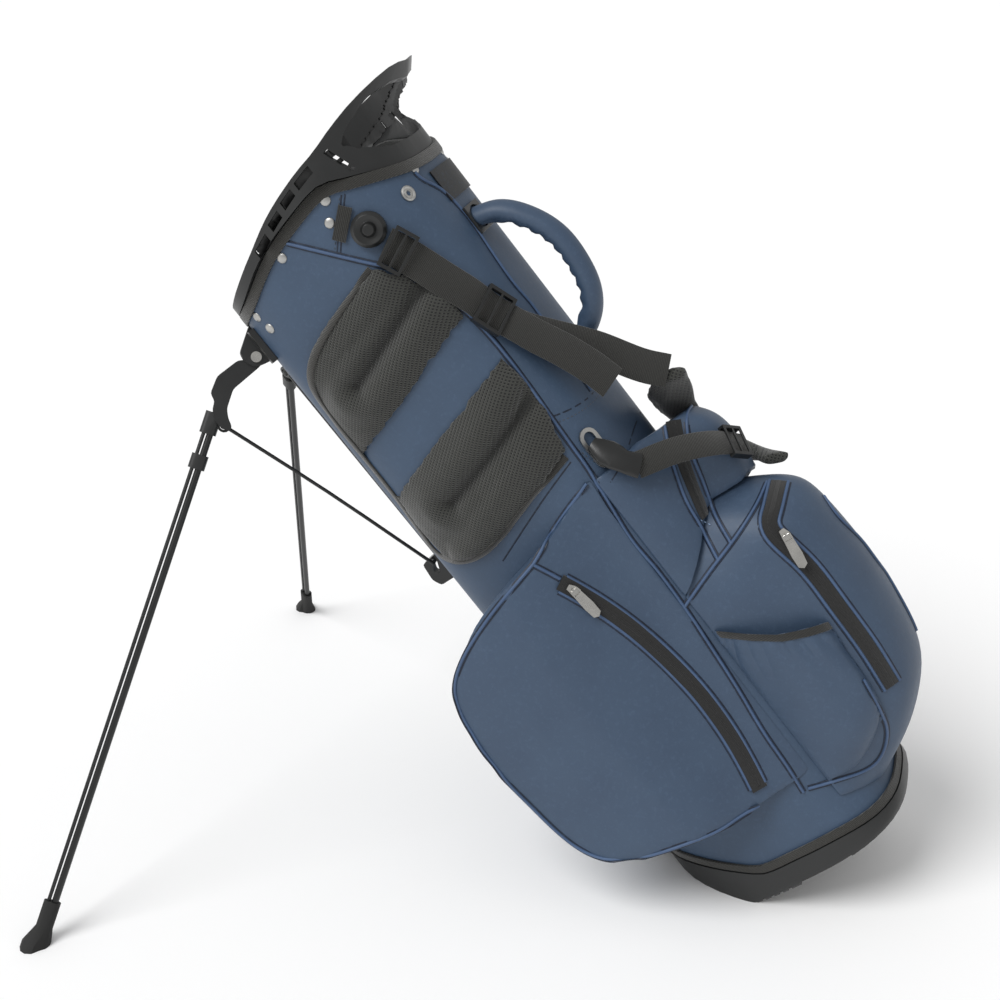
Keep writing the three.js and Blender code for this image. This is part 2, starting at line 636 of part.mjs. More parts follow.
// Base cup: a moulded tray with a bevel that lies on the floor, a bay for the pedal and ribbed treads
const pedalPin = new THREE.Vector3(-pedalPinSetback, 0, pedalPinHeight);
const pedalBayReach = 2 * tubeHalfDepth;
const fromFloor = (geometry) => geometry.rotateY(lean).translate(-heelEdge, 0, 0);
function baseCupGeometry() {
  const grow = seatGap + cupWall;
  const inset = (angle) => grow - soleRound / 3 - (soleRound - soleRound / 3) * Math.max(0, Math.cos(angle));
  const outer = loft([
    ovalRing(inset, 0),
    ovalRing((angle) => inset(angle) + (grow - inset(angle)) * 0.7, soleRound / 3),
    ovalRing(grow, soleRound),
    ovalRing(grow, cupTop),
    ovalRing(-cupWall, cupTop),
  ]);
  const hollow = cut(loft([ovalRing(seatGap, soleThickness), ovalRing(seatGap, tubeHeight)]), belowFloor(pedalBayThickness));
  const bayHeight = pedalPinHeight + pedalBarrelRadius + runningGap;
  const bayNear = -pedalPinSetback + pedalBarrelRadius + runningGap;
  const bayWidth = pedalHalfWidth + runningGap;
  const bay = fromFloor(block(-pedalBayReach, bayNear, -bayWidth, bayWidth, -overrun, bayHeight));
  const pinReach = bayWidth + pedalPinOverhang;
  const pinHole = fromFloor(
    rodBetween(pedalPin.clone().setY(-pinReach), pedalPin.clone().setY(pinReach), pedalPinRadius + runningGap, 16));
  const treads = [];
  for (const start of [-heelEdge + treadPitch / 2, tubeHalfDepth - soleRound - treadCount * treadPitch])
    for (let i = 0; i < treadCount; i++) {
      const x = start + i * treadPitch;
      treads.push(block(x, x + treadWidth, -tubeHalfWidth - overrun, tubeHalfWidth + overrun, -overrun, treadDepth));
    }
  const archStart = -heelEdge + treadPitch / 2 + treadCount * treadPitch + treadWidth;
  const archEnd = tubeHalfDepth - soleRound - treadCount * treadPitch - treadPitch + treadWidth;
  const arch = block(archStart, archEnd, -tubeHalfWidth - overrun, tubeHalfWidth + overrun, -overrun, archDepth);
  return cut(outer, belowFloor(), hollow, bay, pinHole, arch, ...treads);
}

function baseBindingGeometry() {
  return tubeRing((angle) => [
    onTube(angle, baseBindingFoot(angle), seatGap),
    onTube(angle, baseBindingFoot(angle), seatGap + baseBindingThickness),
    onTube(angle, baseBindingTop(angle), seatGap + baseBindingThickness),
    onTube(angle, baseBindingTop(angle), seatGap),
  ]);
}

// Pedal: a plate on a barrel hinge, lying just above the floor
const pedalEnd = -(rodSetoff + tubeHalfDepth - heelEdge + pedalTab) / Math.cos(lean);
function pedalGeometry() {
  const top = pedalLift + pedalThickness;
  const leaf = block(pedalEnd, -pedalPinSetback, -pedalHalfWidth, pedalHalfWidth, pedalLift, top);
  const nearEnd = pedalPin.clone().setY(-pedalHalfWidth);
  const farEnd = pedalPin.clone().setY(pedalHalfWidth);
  const barrel = rodBetween(nearEnd, farEnd, pedalBarrelRadius, 16);
  const nearBore = nearEnd.clone().setY(-pedalHalfWidth - overrun);
  const farBore = farEnd.clone().setY(pedalHalfWidth + overrun);
  return cut(join(leaf, barrel), rodBetween(nearBore, farBore, pedalPinRadius + runningGap, 16));
}

function pedalPinGeometry() {
  const reach = pedalHalfWidth + pedalPinOverhang;
  return rodBetween(pedalPin.clone().setY(-reach), pedalPin.clone().setY(reach), pedalPinRadius, 16);
}

function topBindingGeometry() {
  return tubeRing((angle) => [
    onTube(angle, bandFoot(angle), seatGap),
    onTube(angle, bandFoot(angle), seatGap + topBandThickness),
    onTube(angle, bandTop(angle), seatGap + topBandThickness),
    onTube(angle, bandTop(angle), -shellWall),
    onTube(angle, shellTop(angle) + seatGap, -shellWall),
    onTube(angle, shellTop(angle) + seatGap, seatGap),
  ]);
}

// Cuff: a skirt inside the shell, a ledge over the binding, a collar, and a lip that flares into a horn
const turnOf = (angle) => Math.abs(THREE.MathUtils.radToDeg(angle));
const ledgeHeight = (angle) => bandTop(angle) + seatGap;
const rimHeight = (angle) => smoothAt(rimHeightShares, turnOf(angle)) * tubeHeight;
const wallHeight = (angle, shares) =>
  ledgeHeight(angle) + (rimHeight(angle) - ledgeHeight(angle)) * lerpAt(shares, turnOf(angle));
const collarTop = (angle) => wallHeight(angle, collarTopShares);
const lipFoot = (angle) => wallHeight(angle, lipFootShares);
const collarGrow = (angle) => cuffReach * lerpAt(cuffReachShares, turnOf(angle));
const lipGrow = (angle) => collarGrow(angle) + hornReach * lerpAt(lipReachShares, turnOf(angle));
const rimGrow = (angle) =>
  lipGrow(angle) + (cuffReach + hornReach * (1 - lipReachShares[0][1])) * lerpAt(hornReachShares, turnOf(angle));
function cuffGeometry() {
  const skirtGrow = -shellWall - seatGap;
  const wallAt = (angle) => cuffWall + lipThickening * lerpAt(hornReachShares, turnOf(angle));
  const ring = tubeRing((angle) => [
    onTube(angle, bandFoot(angle) - cuffSkirt, skirtGrow),
    onTube(angle, ledgeHeight(angle), skirtGrow),
    onTube(angle, ledgeHeight(angle), Math.max(collarGrow(angle), skirtGrow + seatGap)),
    onTube(angle, collarTop(angle), collarGrow(angle)),
    onTube(angle, lipFoot(angle), lipGrow(angle)),
    onTube(angle, rimHeight(angle), rimGrow(angle)),
    onTube(angle, rimHeight(angle), rimGrow(angle) - wallAt(angle)),
    onTube(angle, lipFoot(angle), lipGrow(angle) - wallAt(angle)),
    onTube(angle, collarTop(angle), collarGrow(angle) - cuffWall),
    onTube(angle, ledgeHeight(angle) + cuffLedge, skirtGrow - cuffWall),
    onTube(angle, bandFoot(angle) - cuffSkirt, skirtGrow - cuffWall),
  ]);
  const gapEdge = degrees(handGapDegrees);
  const handGap = loft(range(16, -gapEdge, gapEdge).map((angle) => {
    const closing = Math.abs(angle) / gapEdge > 0.99 ? 0.5 : 0;
    const low = THREE.MathUtils.lerp(collarTop(angle), lipFoot(angle), 0.8 * closing);
    const high = THREE.MathUtils.lerp(lipFoot(angle), collarTop(angle), 0.8 * closing);
    const outward = hornReach + overrun;
    return [onTube(angle, low, -overrun / 3), onTube(angle, low, outward), onTube(angle, high, outward), onTube(angle, high, -overrun / 3)];
  }));
  const reach = 2 * (tubeHalfWidth + overrun);
  const scaled = (shares) => shares.map(([b, h]) => [b * tubeHalfDepth, h * tubeHeight]);
  const windows = [...windowShares, slotShares].map((shares) => plate(scaled(shares), reach));
  return cut(ring, handGap, ...windows);
}

function linerGeometry() {
  const grow = -shellWall - seatGap - cuffWall - seatGap;
  const top = (angle) => ledgeHeight(angle) + cuffLedge;
  return tubeRing((angle) => [
    onTube(angle, top(angle) - linerDepth, grow),
    onTube(angle, top(angle), grow),
    onTube(angle, top(angle), grow - linerThickness),
    onTube(angle, top(angle) - linerDepth, grow - linerThickness),
  ]);
}

// Club dividers: two walls across and one along the legs' half, with padded bars at the mouth
function dividerGeometry() {
  const innerDepth = tubeHalfDepth - dividerSetback;
  const widthAt = (x) => {
    const share = Math.pow(1 - Math.abs(x / innerDepth) ** tubeSquareness, 1 / tubeSquareness);
    return (tubeHalfWidth - dividerSetback) * share;
  };
  const topAt = (x) => smoothAt(topEdgeShares, x / tubeHalfDepth) * tubeHeight + topBandHeight - dividerDrop;
  const footAt = (x) => Math.max(soleThickness, bayFloorAt(x)) + seatGap;
  const walls = [];
  const lengthwise = (thickness, drop, inset) => {
    const xs = range(8, -innerDepth + inset, dividerSpacing);
    const upper = xs.map((x) => [x, topAt(x)]);
    const lower = [...xs].reverse().map((x) => [x, drop ? topAt(x) - drop : footAt(x)]);
    return plate([...upper, ...lower], thickness);
  };
  walls.push(lengthwise(dividerWall, 0, 0), lengthwise(dividerBar, dividerBarHeight, 0));
  for (const x of [-dividerSpacing, dividerSpacing]) {
    const half = widthAt(Math.abs(x) + dividerBar / 2);
    const low = footAt(x - dividerBar / 2);
    walls.push(block(x - dividerWall / 2, x + dividerWall / 2, -half, half, low, topAt(x)));
    walls.push(block(x - dividerBar / 2, x + dividerBar / 2, -half, half, topAt(x) - dividerBarHeight, topAt(x)));
  }
  return join(...walls);
}

function stayGeometry() {
  const y = tubeHalfWidth - shellWall - seatGap - stayRadius;
  const top = bandFoot(-Math.PI / 2) - cuffSkirt - stayRadius;
  return rodBetween(new THREE.Vector3(0, -y, soleThickness + seatGap), new THREE.Vector3(0, -y, top), stayRadius, 10);
}

// Legs: in a leg's frame x runs out from the bag, y along the pivot pin and z up along the tube
const splay = degrees(legSplayDegrees);
const pivot = new THREE.Vector3(-tubeHalfDepth - pivotSetoff, -pivotSpread, pivotHeight);
const legTurn = Math.PI + splay;
const armScaled = (shares) => shares.map(([x, z]) => [x * armReach, z * armReach]);
const legSlope = degrees(tubeSlopeDegrees);
const legAlong = new THREE.Vector3(Math.cos(legSlope), 0, -Math.sin(legSlope));
const legAcross = new THREE.Vector3(Math.sin(legSlope), 0, Math.cos(legSlope));
const tubeStart = new THREE.Vector3(armReach, 0, -legTubeDrop);
const rodStart = tubeStart.clone().addScaledVector(legAcross, legRodOffset);
const alongLeg = (start, distance) => start.clone().addScaledVector(legAlong, distance);
const toLeg = (geometry) => geometry.translate(-pivot.x, -pivot.y, -pivot.z).rotateZ(-legTurn);
const fromLeg = (geometry) => geometry.rotateZ(legTurn).translate(pivot.x, pivot.y, pivot.z);
const fromLegPoint = (point) => point.clone().applyAxisAngle(new THREE.Vector3(0, 0, 1), legTurn).add(pivot);

function twinRing(distance, grow, endGrow = grow) {
  const half = (start, radius, from) => range(6, from, from + Math.PI).map((turn) =>
    alongLeg(start, distance)
      .addScaledVector(legAcross, radius * Math.sin(turn))
      .add(new THREE.Vector3(0, radius * Math.cos(turn), 0)));
  return [...half(rodStart, legRodRadius + grow, 0), ...half(tubeStart, legTubeRadius + endGrow, Math.PI)];
}
const legBores = (from, to) => [
  rodBetween(alongLeg(tubeStart, from), alongLeg(tubeStart, to), legTubeRadius + runningGap, 12),
  rodBetween(alongLeg(rodStart, from), alongLeg(rodStart, to), legRodRadius + runningGap, 10),
];

function bracketGeometry() {
  const half = degrees(bracketHalfDegrees);
  const us = range(12, Math.PI - half, Math.PI + half);
  const grow = seatGap + bracketThickness;
  const pad = sheet(us, [bracketFoot, bracketTop],
    (angle, height) => onTube(angle, height, grow), (angle, height) => onTube(angle, height, -overrun / 10));
  const cheeks = [];
  const offset = armWidth / 2 + armGap + cheekWall / 2;
  for (const y of [-offset, offset]) {
    const cheek = fromLeg(plate(armScaled(cheekShares), cheekWall, armRound).translate(0, y, 0));
    cheeks.push(cheek, mirrored(cheek));
  }
  const boreReach = new THREE.Vector3(0, offset + cheekWall, 0);
  const bore = fromLeg(rodBetween(boreReach.clone().negate(), boreReach, pinRadius + runningGap, 20));
  const shell = loft([ovalRing(seatGap, 0), ovalRing(seatGap, tubeHeight)]);
  const overBand = (angle) => bandFoot(angle) - seatGap;
  const bandGrow = 2 * seatGap + topBandThickness;
  const band = loft([ovalRing(bandGrow, overBand), ovalRing(bandGrow, tubeHeight)]);
  return cut(join(pad, ...cheeks), shell, band, bore, mirrored(bore));
}

function mirrored(geometry) {
  const flat = geometry.index ? geometry.toNonIndexed() : geometry.clone();
  const p = flat.getAttribute("position").array;
  for (let i = 0; i < p.length; i += 9) {
    for (const k of [1, 4, 7]) p[i + k] *= -1;
    for (let k = 0; k < 3; k++) [p[i + 3 + k], p[i + 6 + k]] = [p[i + 6 + k], p[i + 3 + k]];
  }
  flat.deleteAttribute("normal");
  return flat;
}

function legPinGeometry() {
  const reach = armWidth / 2 + armGap + cheekWall + runningGap;
  const end = reach + pinHeadThickness;
  const profile = [[0, -end], [pinHead, -end], [pinHead, -reach], [pinRadius, -reach], [pinRadius, reach],
    [pinHead, reach], [pinHead, end], [0, end]];
  return new THREE.LatheGeometry(profile.map(([x, y]) => new THREE.Vector2(x, y)), 20);
}

function knuckleGeometry() {
  const arm = plate(armScaled(armShares), armWidth, armRound);
  const housing = loft([twinRing(-socketWall, socketWall), twinRing(socketLength, socketWall)]);
  const ball = new THREE.Vector3(armReach, -ballOffset, -ballDrop);
  const stem = rodBetween(ball.clone().setY(0), ball, ballStemRadius, 10);
  const knob = new THREE.SphereGeometry(ballRadius, 10, 8).translate(ball.x, ball.y, ball.z);
  const boreReach = new THREE.Vector3(0, armWidth, 0);
  const bore = rodBetween(boreReach.clone().negate(), boreReach, pinRadius + runningGap, 20);
  return cut(join(arm, housing, stem, knob), bore, ...legBores(0, overrun));
}

function clipGeometry() {
  const start = socketLength + clipStart;
  const end = start + clipLength;
  return cut(loft([twinRing(start, socketWall), twinRing(end, socketWall)]), ...legBores(0, end + overrun));
}

function footGeometry() {
  const top = legLength - legTubeInset - socketWall;
  const flare = legLength + footLength * 0.4;
  const toe = legLength + 2 * footLength;
  const rings = [
    twinRing(top, socketWall),
    twinRing(flare, socketWall),
    twinRing(legLength + footLength, footToe - legRodRadius, footRadius - legTubeRadius),
    twinRing(toe, footToe - legRodRadius, footRadius - legTubeRadius),
  ];
  return cut(loft(rings), toLeg(belowFloor()), ...legBores(0, legLength + runningGap));
}

// Brace wires: from the ball on each leg to the head of the rod that the pedal works
const wireEnd = new THREE.Vector3(-tubeHalfDepth - wireEndSetoff, -wireEndSpread, wireEndHeight);
const ballPoint = fromLegPoint(new THREE.Vector3(armReach, -ballOffset, -ballDrop));
function wireGeometry() {
  const ballAxis = new THREE.Vector3(0, 1, 0).applyAxisAngle(new THREE.Vector3(0, 0, 1), legTurn);
  const towards = wireEnd.clone().sub(ballPoint).normalize();
  const halfEye = eyeWidth / 2;
  const eye = rodBetween(ballPoint.clone().addScaledVector(ballAxis, -halfEye),
    ballPoint.clone().addScaledVector(ballAxis, halfEye), eyeRadius, 16);
  const bore = rodBetween(ballPoint.clone().addScaledVector(ballAxis, -overrun),
    ballPoint.clone().addScaledVector(ballAxis, overrun), ballRadius + runningGap, 16);
  const middle = ballPoint.clone().lerp(wireEnd, 0.5);
  middle.z += wireBow;
  const bend = splinePath([ballPoint.clone().addScaledVector(towards, eyeRadius - wireRadius / 2), middle, wireEnd], 6);
  const shank = tubeAlong(bend, wireRadius, 8);
  const corner = new THREE.SphereGeometry(wireRadius, 10, 8).translate(wireEnd.x, wireEnd.y, wireEnd.z);
  const hook = rodBetween(wireEnd, wireEnd.clone().setY(wireEnd.y + hookLength), wireRadius, 10);
  return join(cut(eye, bore), shank, corner, hook);
}

// Rod and sleeve
const rodX = -tubeHalfDepth - rodSetoff;
function actuatorGeometry() {
  const floorTop = (pedalLift + pedalThickness) / Math.cos(lean);
  const foot = floorTop + slope * (rodSetoff + tubeHalfDepth - heelEdge + rodRadius) + runningGap;
  const shaft = rodBetween(new THREE.Vector3(rodX, 0, foot), new THREE.Vector3(rodX, 0, headHigh - headThickness), rodRadius, 12);
  const inner = rodX + rodRadius + socketWall / 2;
  const outer = rodX - headDepth + rodRadius;
  const head = plate([[inner, headLow], [inner, headHigh], [outer, headHigh - headThickness / 2], [outer - socketWall, headLow + headThickness],
    [outer + socketWall, headLow]], headThickness, armRound);
  const slotRadius = wireRadius + 4 * runningGap;
  const slotTop = new THREE.Vector2(wireEnd.x, wireEnd.z);
  const slotFoot = new THREE.Vector2(wireEnd.x - slotShift, wireEnd.z - slotDrop);
  const slot = loft([-1, 1].map((side) => {
    const along = slotTop.clone().sub(slotFoot).angle();
    const ends = [[slotTop, -Math.PI / 2], [slotFoot, Math.PI / 2]];
    return ends.flatMap(([centre, start]) =>
      range(6, 0, Math.PI).map((turn) => {
        const angle = along + start + turn;
        return new THREE.Vector3(centre.x + slotRadius * Math.cos(angle), side * headThickness, centre.y + slotRadius * Math.sin(angle));
      }));
  }));
  return join(shaft, cut(head, slot));
}

function sleeveGeometry() {
  const bore = rodRadius + runningGap;
  const back = -tubeHalfDepth - seatGap;
  const front = rodX - bore - sleeveWall;
  const side = bore + sleeveWall;
  const body = block(front, back, -side, side, sleeveLow, sleeveHigh);
  const foot = block(back - sleeveWall, back, -side * 2, side * 2, sleeveLow, sleeveHigh);
  const channel = rodBetween(new THREE.Vector3(rodX, 0, sleeveLow - overrun), new THREE.Vector3(rodX, 0, sleeveHigh + overrun), bore, 12);
  return cut(join(body, foot), channel);
}

// Side pockets: the front swells away from the tube towards the legs, with a gusset back to it
const apparelPatch = patchBetween(apparelFootShares, apparelTopShares, apparelLegShares, apparelSpineShares);
const apparelAngleAt = (u) => degrees(THREE.MathUtils.lerp(apparelBackDegrees[0], apparelBackDegrees[1], u));
function apparelFront(u, v) {
  const p = apparelPatch(u, v);
  const spineEdge = onTube(sideAngle(apparelPatch(1, v).x), 0, seatGap + apparelEdge).y;
  const crown = apparelCrown * (1 - (2 * v - 1) ** 4) * Math.sin(Math.PI * Math.min(u * 1.15, 1)) ** 0.5;
  const y = spineEdge - apparelSwell * lerpAt(apparelSwellShares, u) - crown;
  return new THREE.Vector3(p.x * tubeHalfDepth, y, p.y * tubeHeight);
}
function apparelBack(u, v) {
  return onTube(apparelAngleAt(u), apparelPatch(u, v).y * tubeHeight, seatGap);
}
const apparelGeometry = () => sheet(range(apparelColumns), range(apparelRows), apparelFront, apparelBack);

// A flat zip arc, from the circle through its first, middle and last points
function arcThrough(a, b, c) {
  const ab = b.clone().sub(a);
  const ac = c.clone().sub(a);
  const normal = new THREE.Vector3().crossVectors(ab, ac);
  const toCentre = new THREE.Vector3().crossVectors(normal, ab).multiplyScalar(ac.lengthSq());
  toCentre.add(new THREE.Vector3().crossVectors(ac, normal).multiplyScalar(ab.lengthSq()));
  toCentre.divideScalar(2 * normal.lengthSq());
  const centre = a.clone().add(toCentre);
  normal.normalize();
  const start = a.clone().sub(centre);
  const end = c.clone().sub(centre);
  const sweep = start.angleTo(end);
  return { centre, axis: normal, start, sweep, at: (share) => start.clone().applyAxisAngle(normal, sweep * share).add(centre) };
}

// Where a patch passes through a place given by its two shares
function patchCoordinates(patch, x, y) {
  let u = 0.6;
  let v = 0.5;
  const step = 1e-4;
  for (let i = 0; i < 12; i++) {
    const p = patch(u, v);
    const du = patch(u + step, v).sub(p).divideScalar(step);
    const dv = patch(u, v + step).sub(p).divideScalar(step);
    const miss = new THREE.Vector2(x - p.x, y - p.y);
    const area = du.x * dv.y - du.y * dv.x;
    u = THREE.MathUtils.clamp(u + (miss.x * dv.y - miss.y * dv.x) / area, 0, 1 - 2 * step);
    v = THREE.MathUtils.clamp(v + (du.x * miss.y - du.y * miss.x) / area, 0, 1 - 2 * step);
  }
  return [u, v];
}

const apparelOver = (x, z, setoff) => {
  const [u, v] = patchCoordinates(apparelPatch, x / tubeHalfDepth, z / tubeHeight);
  const point = apparelFront(u, v);
  return new THREE.Vector3(x, point.y - setoff, z);
};
const apparelArc = arcThrough(...apparelZipShares.map(([b, h]) =>
  apparelOver(b * tubeHalfDepth, h * tubeHeight, zipStandoff + zipThickness + sliderClearance)));
function apparelZipGeometry() {
  const at = (u, v, setoff) => {
    const point = apparelArc.at(v);
    const outward = point.clone().sub(apparelArc.centre).setY(0).normalize();
    point.addScaledVector(outward, u * zipWidth / 2);
    return apparelOver(point.x, point.z, setoff);
  };
  return sheet([-1, 0, 1], range(20), (u, v) => at(u, v, zipStandoff + zipThickness), (u, v) => at(u, v, zipStandoff));
}

// A slider on its arc, facing along the arc's axis, with a hanging pull
const zipStart = 0.05;
function onArc(arc, facing, geometry) {
  const place = arc.at(zipStart);
  const along = arc.at(zipStart + 0.01).sub(place).normalize();
  const across = new THREE.Vector3().crossVectors(facing, along).normalize();
  const out = new THREE.Vector3().crossVectors(along, across);
  return geometry.applyMatrix4(new THREE.Matrix4().makeBasis(along, across, out).setPosition(place));
}
function sliderGeometry(arc, facing) {
  const half = sliderLength / 2;
  const body = new THREE.Shape([[-half, -sliderWidth * 0.3], [0, -sliderWidth / 2], [half, -sliderWidth * 0.4],
    [half, sliderWidth * 0.4], [0, sliderWidth / 2], [-half, sliderWidth * 0.3]].map(([x, y]) => new THREE.Vector2(x, y)));
  const slab = new THREE.ExtrudeGeometry(body, { depth: sliderHeight / 2, bevelEnabled: false });
  const bridge = block(-half * 0.32, half * 0.32, -sliderWidth / 9, sliderWidth / 9, 0, sliderHeight);
  const eye = block(-half * 0.2, half * 0.2, -sliderWidth, sliderWidth, sliderHeight * 0.52, sliderHeight * 0.9);
  return onArc(arc, facing, cut(join(slab, bridge), eye));
}
const pullPlace = (arc, facing) => onArcPoint(arc, facing, 0, 0, sliderHeight * 0.7);
function onArcPoint(arc, facing, x, y, z) {
  const point = new THREE.BufferGeometry().setFromPoints([new THREE.Vector3(x, y, z)]);
  return new THREE.Vector3().fromBufferAttribute(onArc(arc, facing, point).getAttribute("position"), 0);
}
function pullGeometry(arc, facing) {
  const eyeGap = sliderHeight * 0.1;
  const outline = [[0.16, -0.42], [0.6, -0.5], [0.92, -0.42], [1, 0], [0.92, 0.42], [0.6, 0.5], [0.16, 0.42]];
  const flat = new THREE.Shape(outline.map(([x, y]) => new THREE.Vector2(x * pullLength, y * pullWidth)));
  const leaf = new THREE.ExtrudeGeometry(flat, { depth: pullThickness, bevelEnabled: false });
  leaf.translate(0, 0, -pullThickness / 2);
  const reach = pullWidth * 0.42;
  const arm = pullWidth * 0.14;
  const arms = [-1, 1].map((side) => block(-eyeGap, pullLength * 0.2, side * reach - (side > 0 ? arm : 0),
    side * reach + (side > 0 ? 0 : arm), -pullThickness / 4, pullThickness / 4));
  const bar = rodBetween(new THREE.Vector3(0, -reach, 0), new THREE.Vector3(0, reach, 0), eyeGap, 8);
  const across = new THREE.Vector3().crossVectors(facing, pullHang(arc, facing)).normalize();
  const hang = new THREE.Vector3().crossVectors(across, facing);
  return join(leaf, ...arms, bar)
    .applyMatrix4(new THREE.Matrix4().makeBasis(hang, across, facing).setPosition(pullPlace(arc, facing)));
}
// A pull lies along the zip, turned a little towards the floor
function pullHang(arc, facing) {
  const along = arc.at(zipStart + 0.01).sub(arc.at(zipStart)).normalize();
  return along.lerp(hangingFrom(facing), 0.3).normalize();
}

// Ball pocket
const ballAngles = ballAcrossShares.map(([angle]) => angle);
const ballHeight = (angle, v) =>
  THREE.MathUtils.lerp(lerpAt(ballFootShares, angle), lerpAt(ballTopShares, angle), v) * tubeHeight;
const ballUpAt = (angle, height) => {
  const foot = ballHeight(angle, 0);
  return lerpAt(ballUpShares, (height - foot) / (ballHeight(angle, 1) - foot));
};
const ballGrow = (angle, up) => seatGap + ballThin + ballReach * lerpAt(ballAcrossShares, angle) * up;
const ballGeometry = () =>
  sheet(ballAngles, ballUpShares.map(([v]) => v),
    (angle, v) => radial(angle, ballHeight(angle, v), ballGrow(angle, lerpAt(ballUpShares, v))),
    (angle, v) => radial(angle, ballHeight(angle, v), seatGap));
function radial(angleDegrees, height, setoff) {
  const angle = degrees(angleDegrees);
  const radius = ovalRadius(angle) + setoff;
  return new THREE.Vector3(radius * Math.cos(angle), radius * Math.sin(angle), height);
}

const ballSurface = (angle, height, setoff) => radial(angle, height, ballGrow(angle, ballUpAt(angle, height)) + setoff);
const ballArc = arcThrough(...ballZipShares.map(([angle, share]) =>
  ballSurface(angle, share * tubeHeight, ballZipStandoff + zipThickness + ballSliderClearance)));
function ballZipGeometry() {
  const at = (u, v, setoff) => {
    const point = ballArc.at(v);
    const angle = THREE.MathUtils.radToDeg(Math.atan2(point.y, point.x)) + u * ballZipWidthDegrees;
    return ballSurface(angle, point.z, setoff);
  };
  const under = (u, v) => at(u, v, ballZipStandoff);
  return sheet([-1, 0, 1], range(20), (u, v) => at(u, v, ballZipStandoff + zipThickness), under);
}

// Bottle pocket: an open sheet over the ball pocket's near side
const bottleAngles = ballAngles.filter((angle) => angle <= bottleAcrossShares.at(-1)[0]);
function bottlePoint(angle, v, setoff) {
  const foot = lerpAt(bottleFootShares, angle) * tubeHeight;
  const mouth = lerpAt(bottleMouthShares, angle) * tubeHeight;
  const height = THREE.MathUtils.lerp(foot, mouth, v);
  const bulge = bottleBulge * lerpAt(bottleAcrossShares, angle) * lerpAt(bottleUpShares, v);
  return radial(angle, height, ballGrow(angle, ballUpAt(angle, height)) + bottleLift + bulge + setoff);
}
const bottleGeometry = () =>
  sheet(bottleAngles, range(10), (angle, v) => bottlePoint(angle, v, bottleWall), (angle, v) => bottlePoint(angle, v, 0));

function elasticGeometry() {
  const setoff = bottleWall + seatGap;
  const mouth = (angle) => lerpAt(bottleMouthShares, angle) * tubeHeight;
  const low = (angle) => 1 - elasticHeight / (mouth(angle) - lerpAt(bottleFootShares, angle) * tubeHeight);
  const at = (angle, v) => THREE.MathUtils.lerp(low(angle), 1, v);
  return sheet(bottleAngles, range(1),
    (angle, v) => bottlePoint(angle, at(angle, v), setoff + elasticThickness),
    (angle, v) => bottlePoint(angle, at(angle, v), setoff));
}

// Valuables pocket, above the ball pocket
const valuablesAngles = valuablesAcrossShares.map(([angle]) => angle);
function valuablesPoint(angle, v, share) {
  const foot = ballHeight(THREE.MathUtils.clamp(angle, -43, 43), 1) + seatGap + ballThin;
  const top = lerpAt(valuablesTopShares, angle) * tubeHeight;
  const reach = valuablesReach * lerpAt(valuablesAcrossShares, angle) * lerpAt(valuablesUpShares, v);
  const overhang = -valuablesOverhang * lerpAt(valuablesAcrossShares, angle) * (1 - v) ** 2 * share;
  return radial(angle, THREE.MathUtils.lerp(foot, top, v) + overhang, seatGap + (ballThin + reach) * share);
}
const valuablesGeometry = () =>
  sheet(valuablesAngles, range(6), (angle, v) => valuablesPoint(angle, v, 1), (angle, v) => valuablesPoint(angle, v, 0));

function valuablesZipGeometry() {
  const at = (u, v, setoff) => {
    const place = v * (valuablesZipShares.length - 1);
    const k = Math.min(Math.floor(place), valuablesZipShares.length - 2);
    const [angle, share] = valuablesZipShares[k].map((value, i) =>
      THREE.MathUtils.lerp(value, valuablesZipShares[k + 1][i], place - k));
    const wide = angle + u * valuablesZipWidthDegrees;
    const foot = valuablesPoint(wide, 0, 0).z;
    const top = lerpAt(valuablesTopShares, wide) * tubeHeight;
    const up = (share * tubeHeight - foot) / (top - foot);
    const surface = valuablesPoint(wide, THREE.MathUtils.clamp(up, 0, 1), 1);
    const out = surface.clone().setZ(0).normalize();
    return surface.addScaledVector(out, setoff);
  };
  return sheet([-1, 0, 1], range(8), (u, v) => at(u, v, zipStandoff + zipThickness), (u, v) => at(u, v, zipStandoff));
}

// Hip pads: a crown drawn in at the edges, with one sewn channel across the middle
function padGeometry(footShares, topShares, legShares, spineShares) {
  const patch = patchBetween(footShares, topShares, legShares, spineShares);
  const crownAt = (u, v) => {
    const edge = Math.min(1, 5 * Math.min(u, 1 - u)) * Math.min(1, 5 * Math.min(v, 1 - v));
    const channel = Math.exp(-(((v - 0.5) / 0.1) ** 2)) * Math.sin(Math.PI * u) ** 0.6;
    return hipPadEdge + hipPadCrown * Math.sin((Math.PI / 2) * edge) - hipPadChannel * channel;
  };
  const at = (u, v, setoff) => {
    const p = patch(u, v);
    return onTube(sideAngle(p.x), p.y * tubeHeight, seatGap + setoff);
  };
  const vs = [0, 0.05, 0.12, 0.2, 0.28, 0.36, 0.42, 0.46, 0.5, 0.54, 0.58, 0.64, 0.72, 0.8, 0.88, 0.95, 1];
  const us = [0, 0.04, 0.09, ...range(16, 0.14, 0.86), 0.91, 0.96, 1];
  return sheet(us, vs, (u, v) => at(u, v, crownAt(u, v)), (u, v) => at(u, v, 0));
}

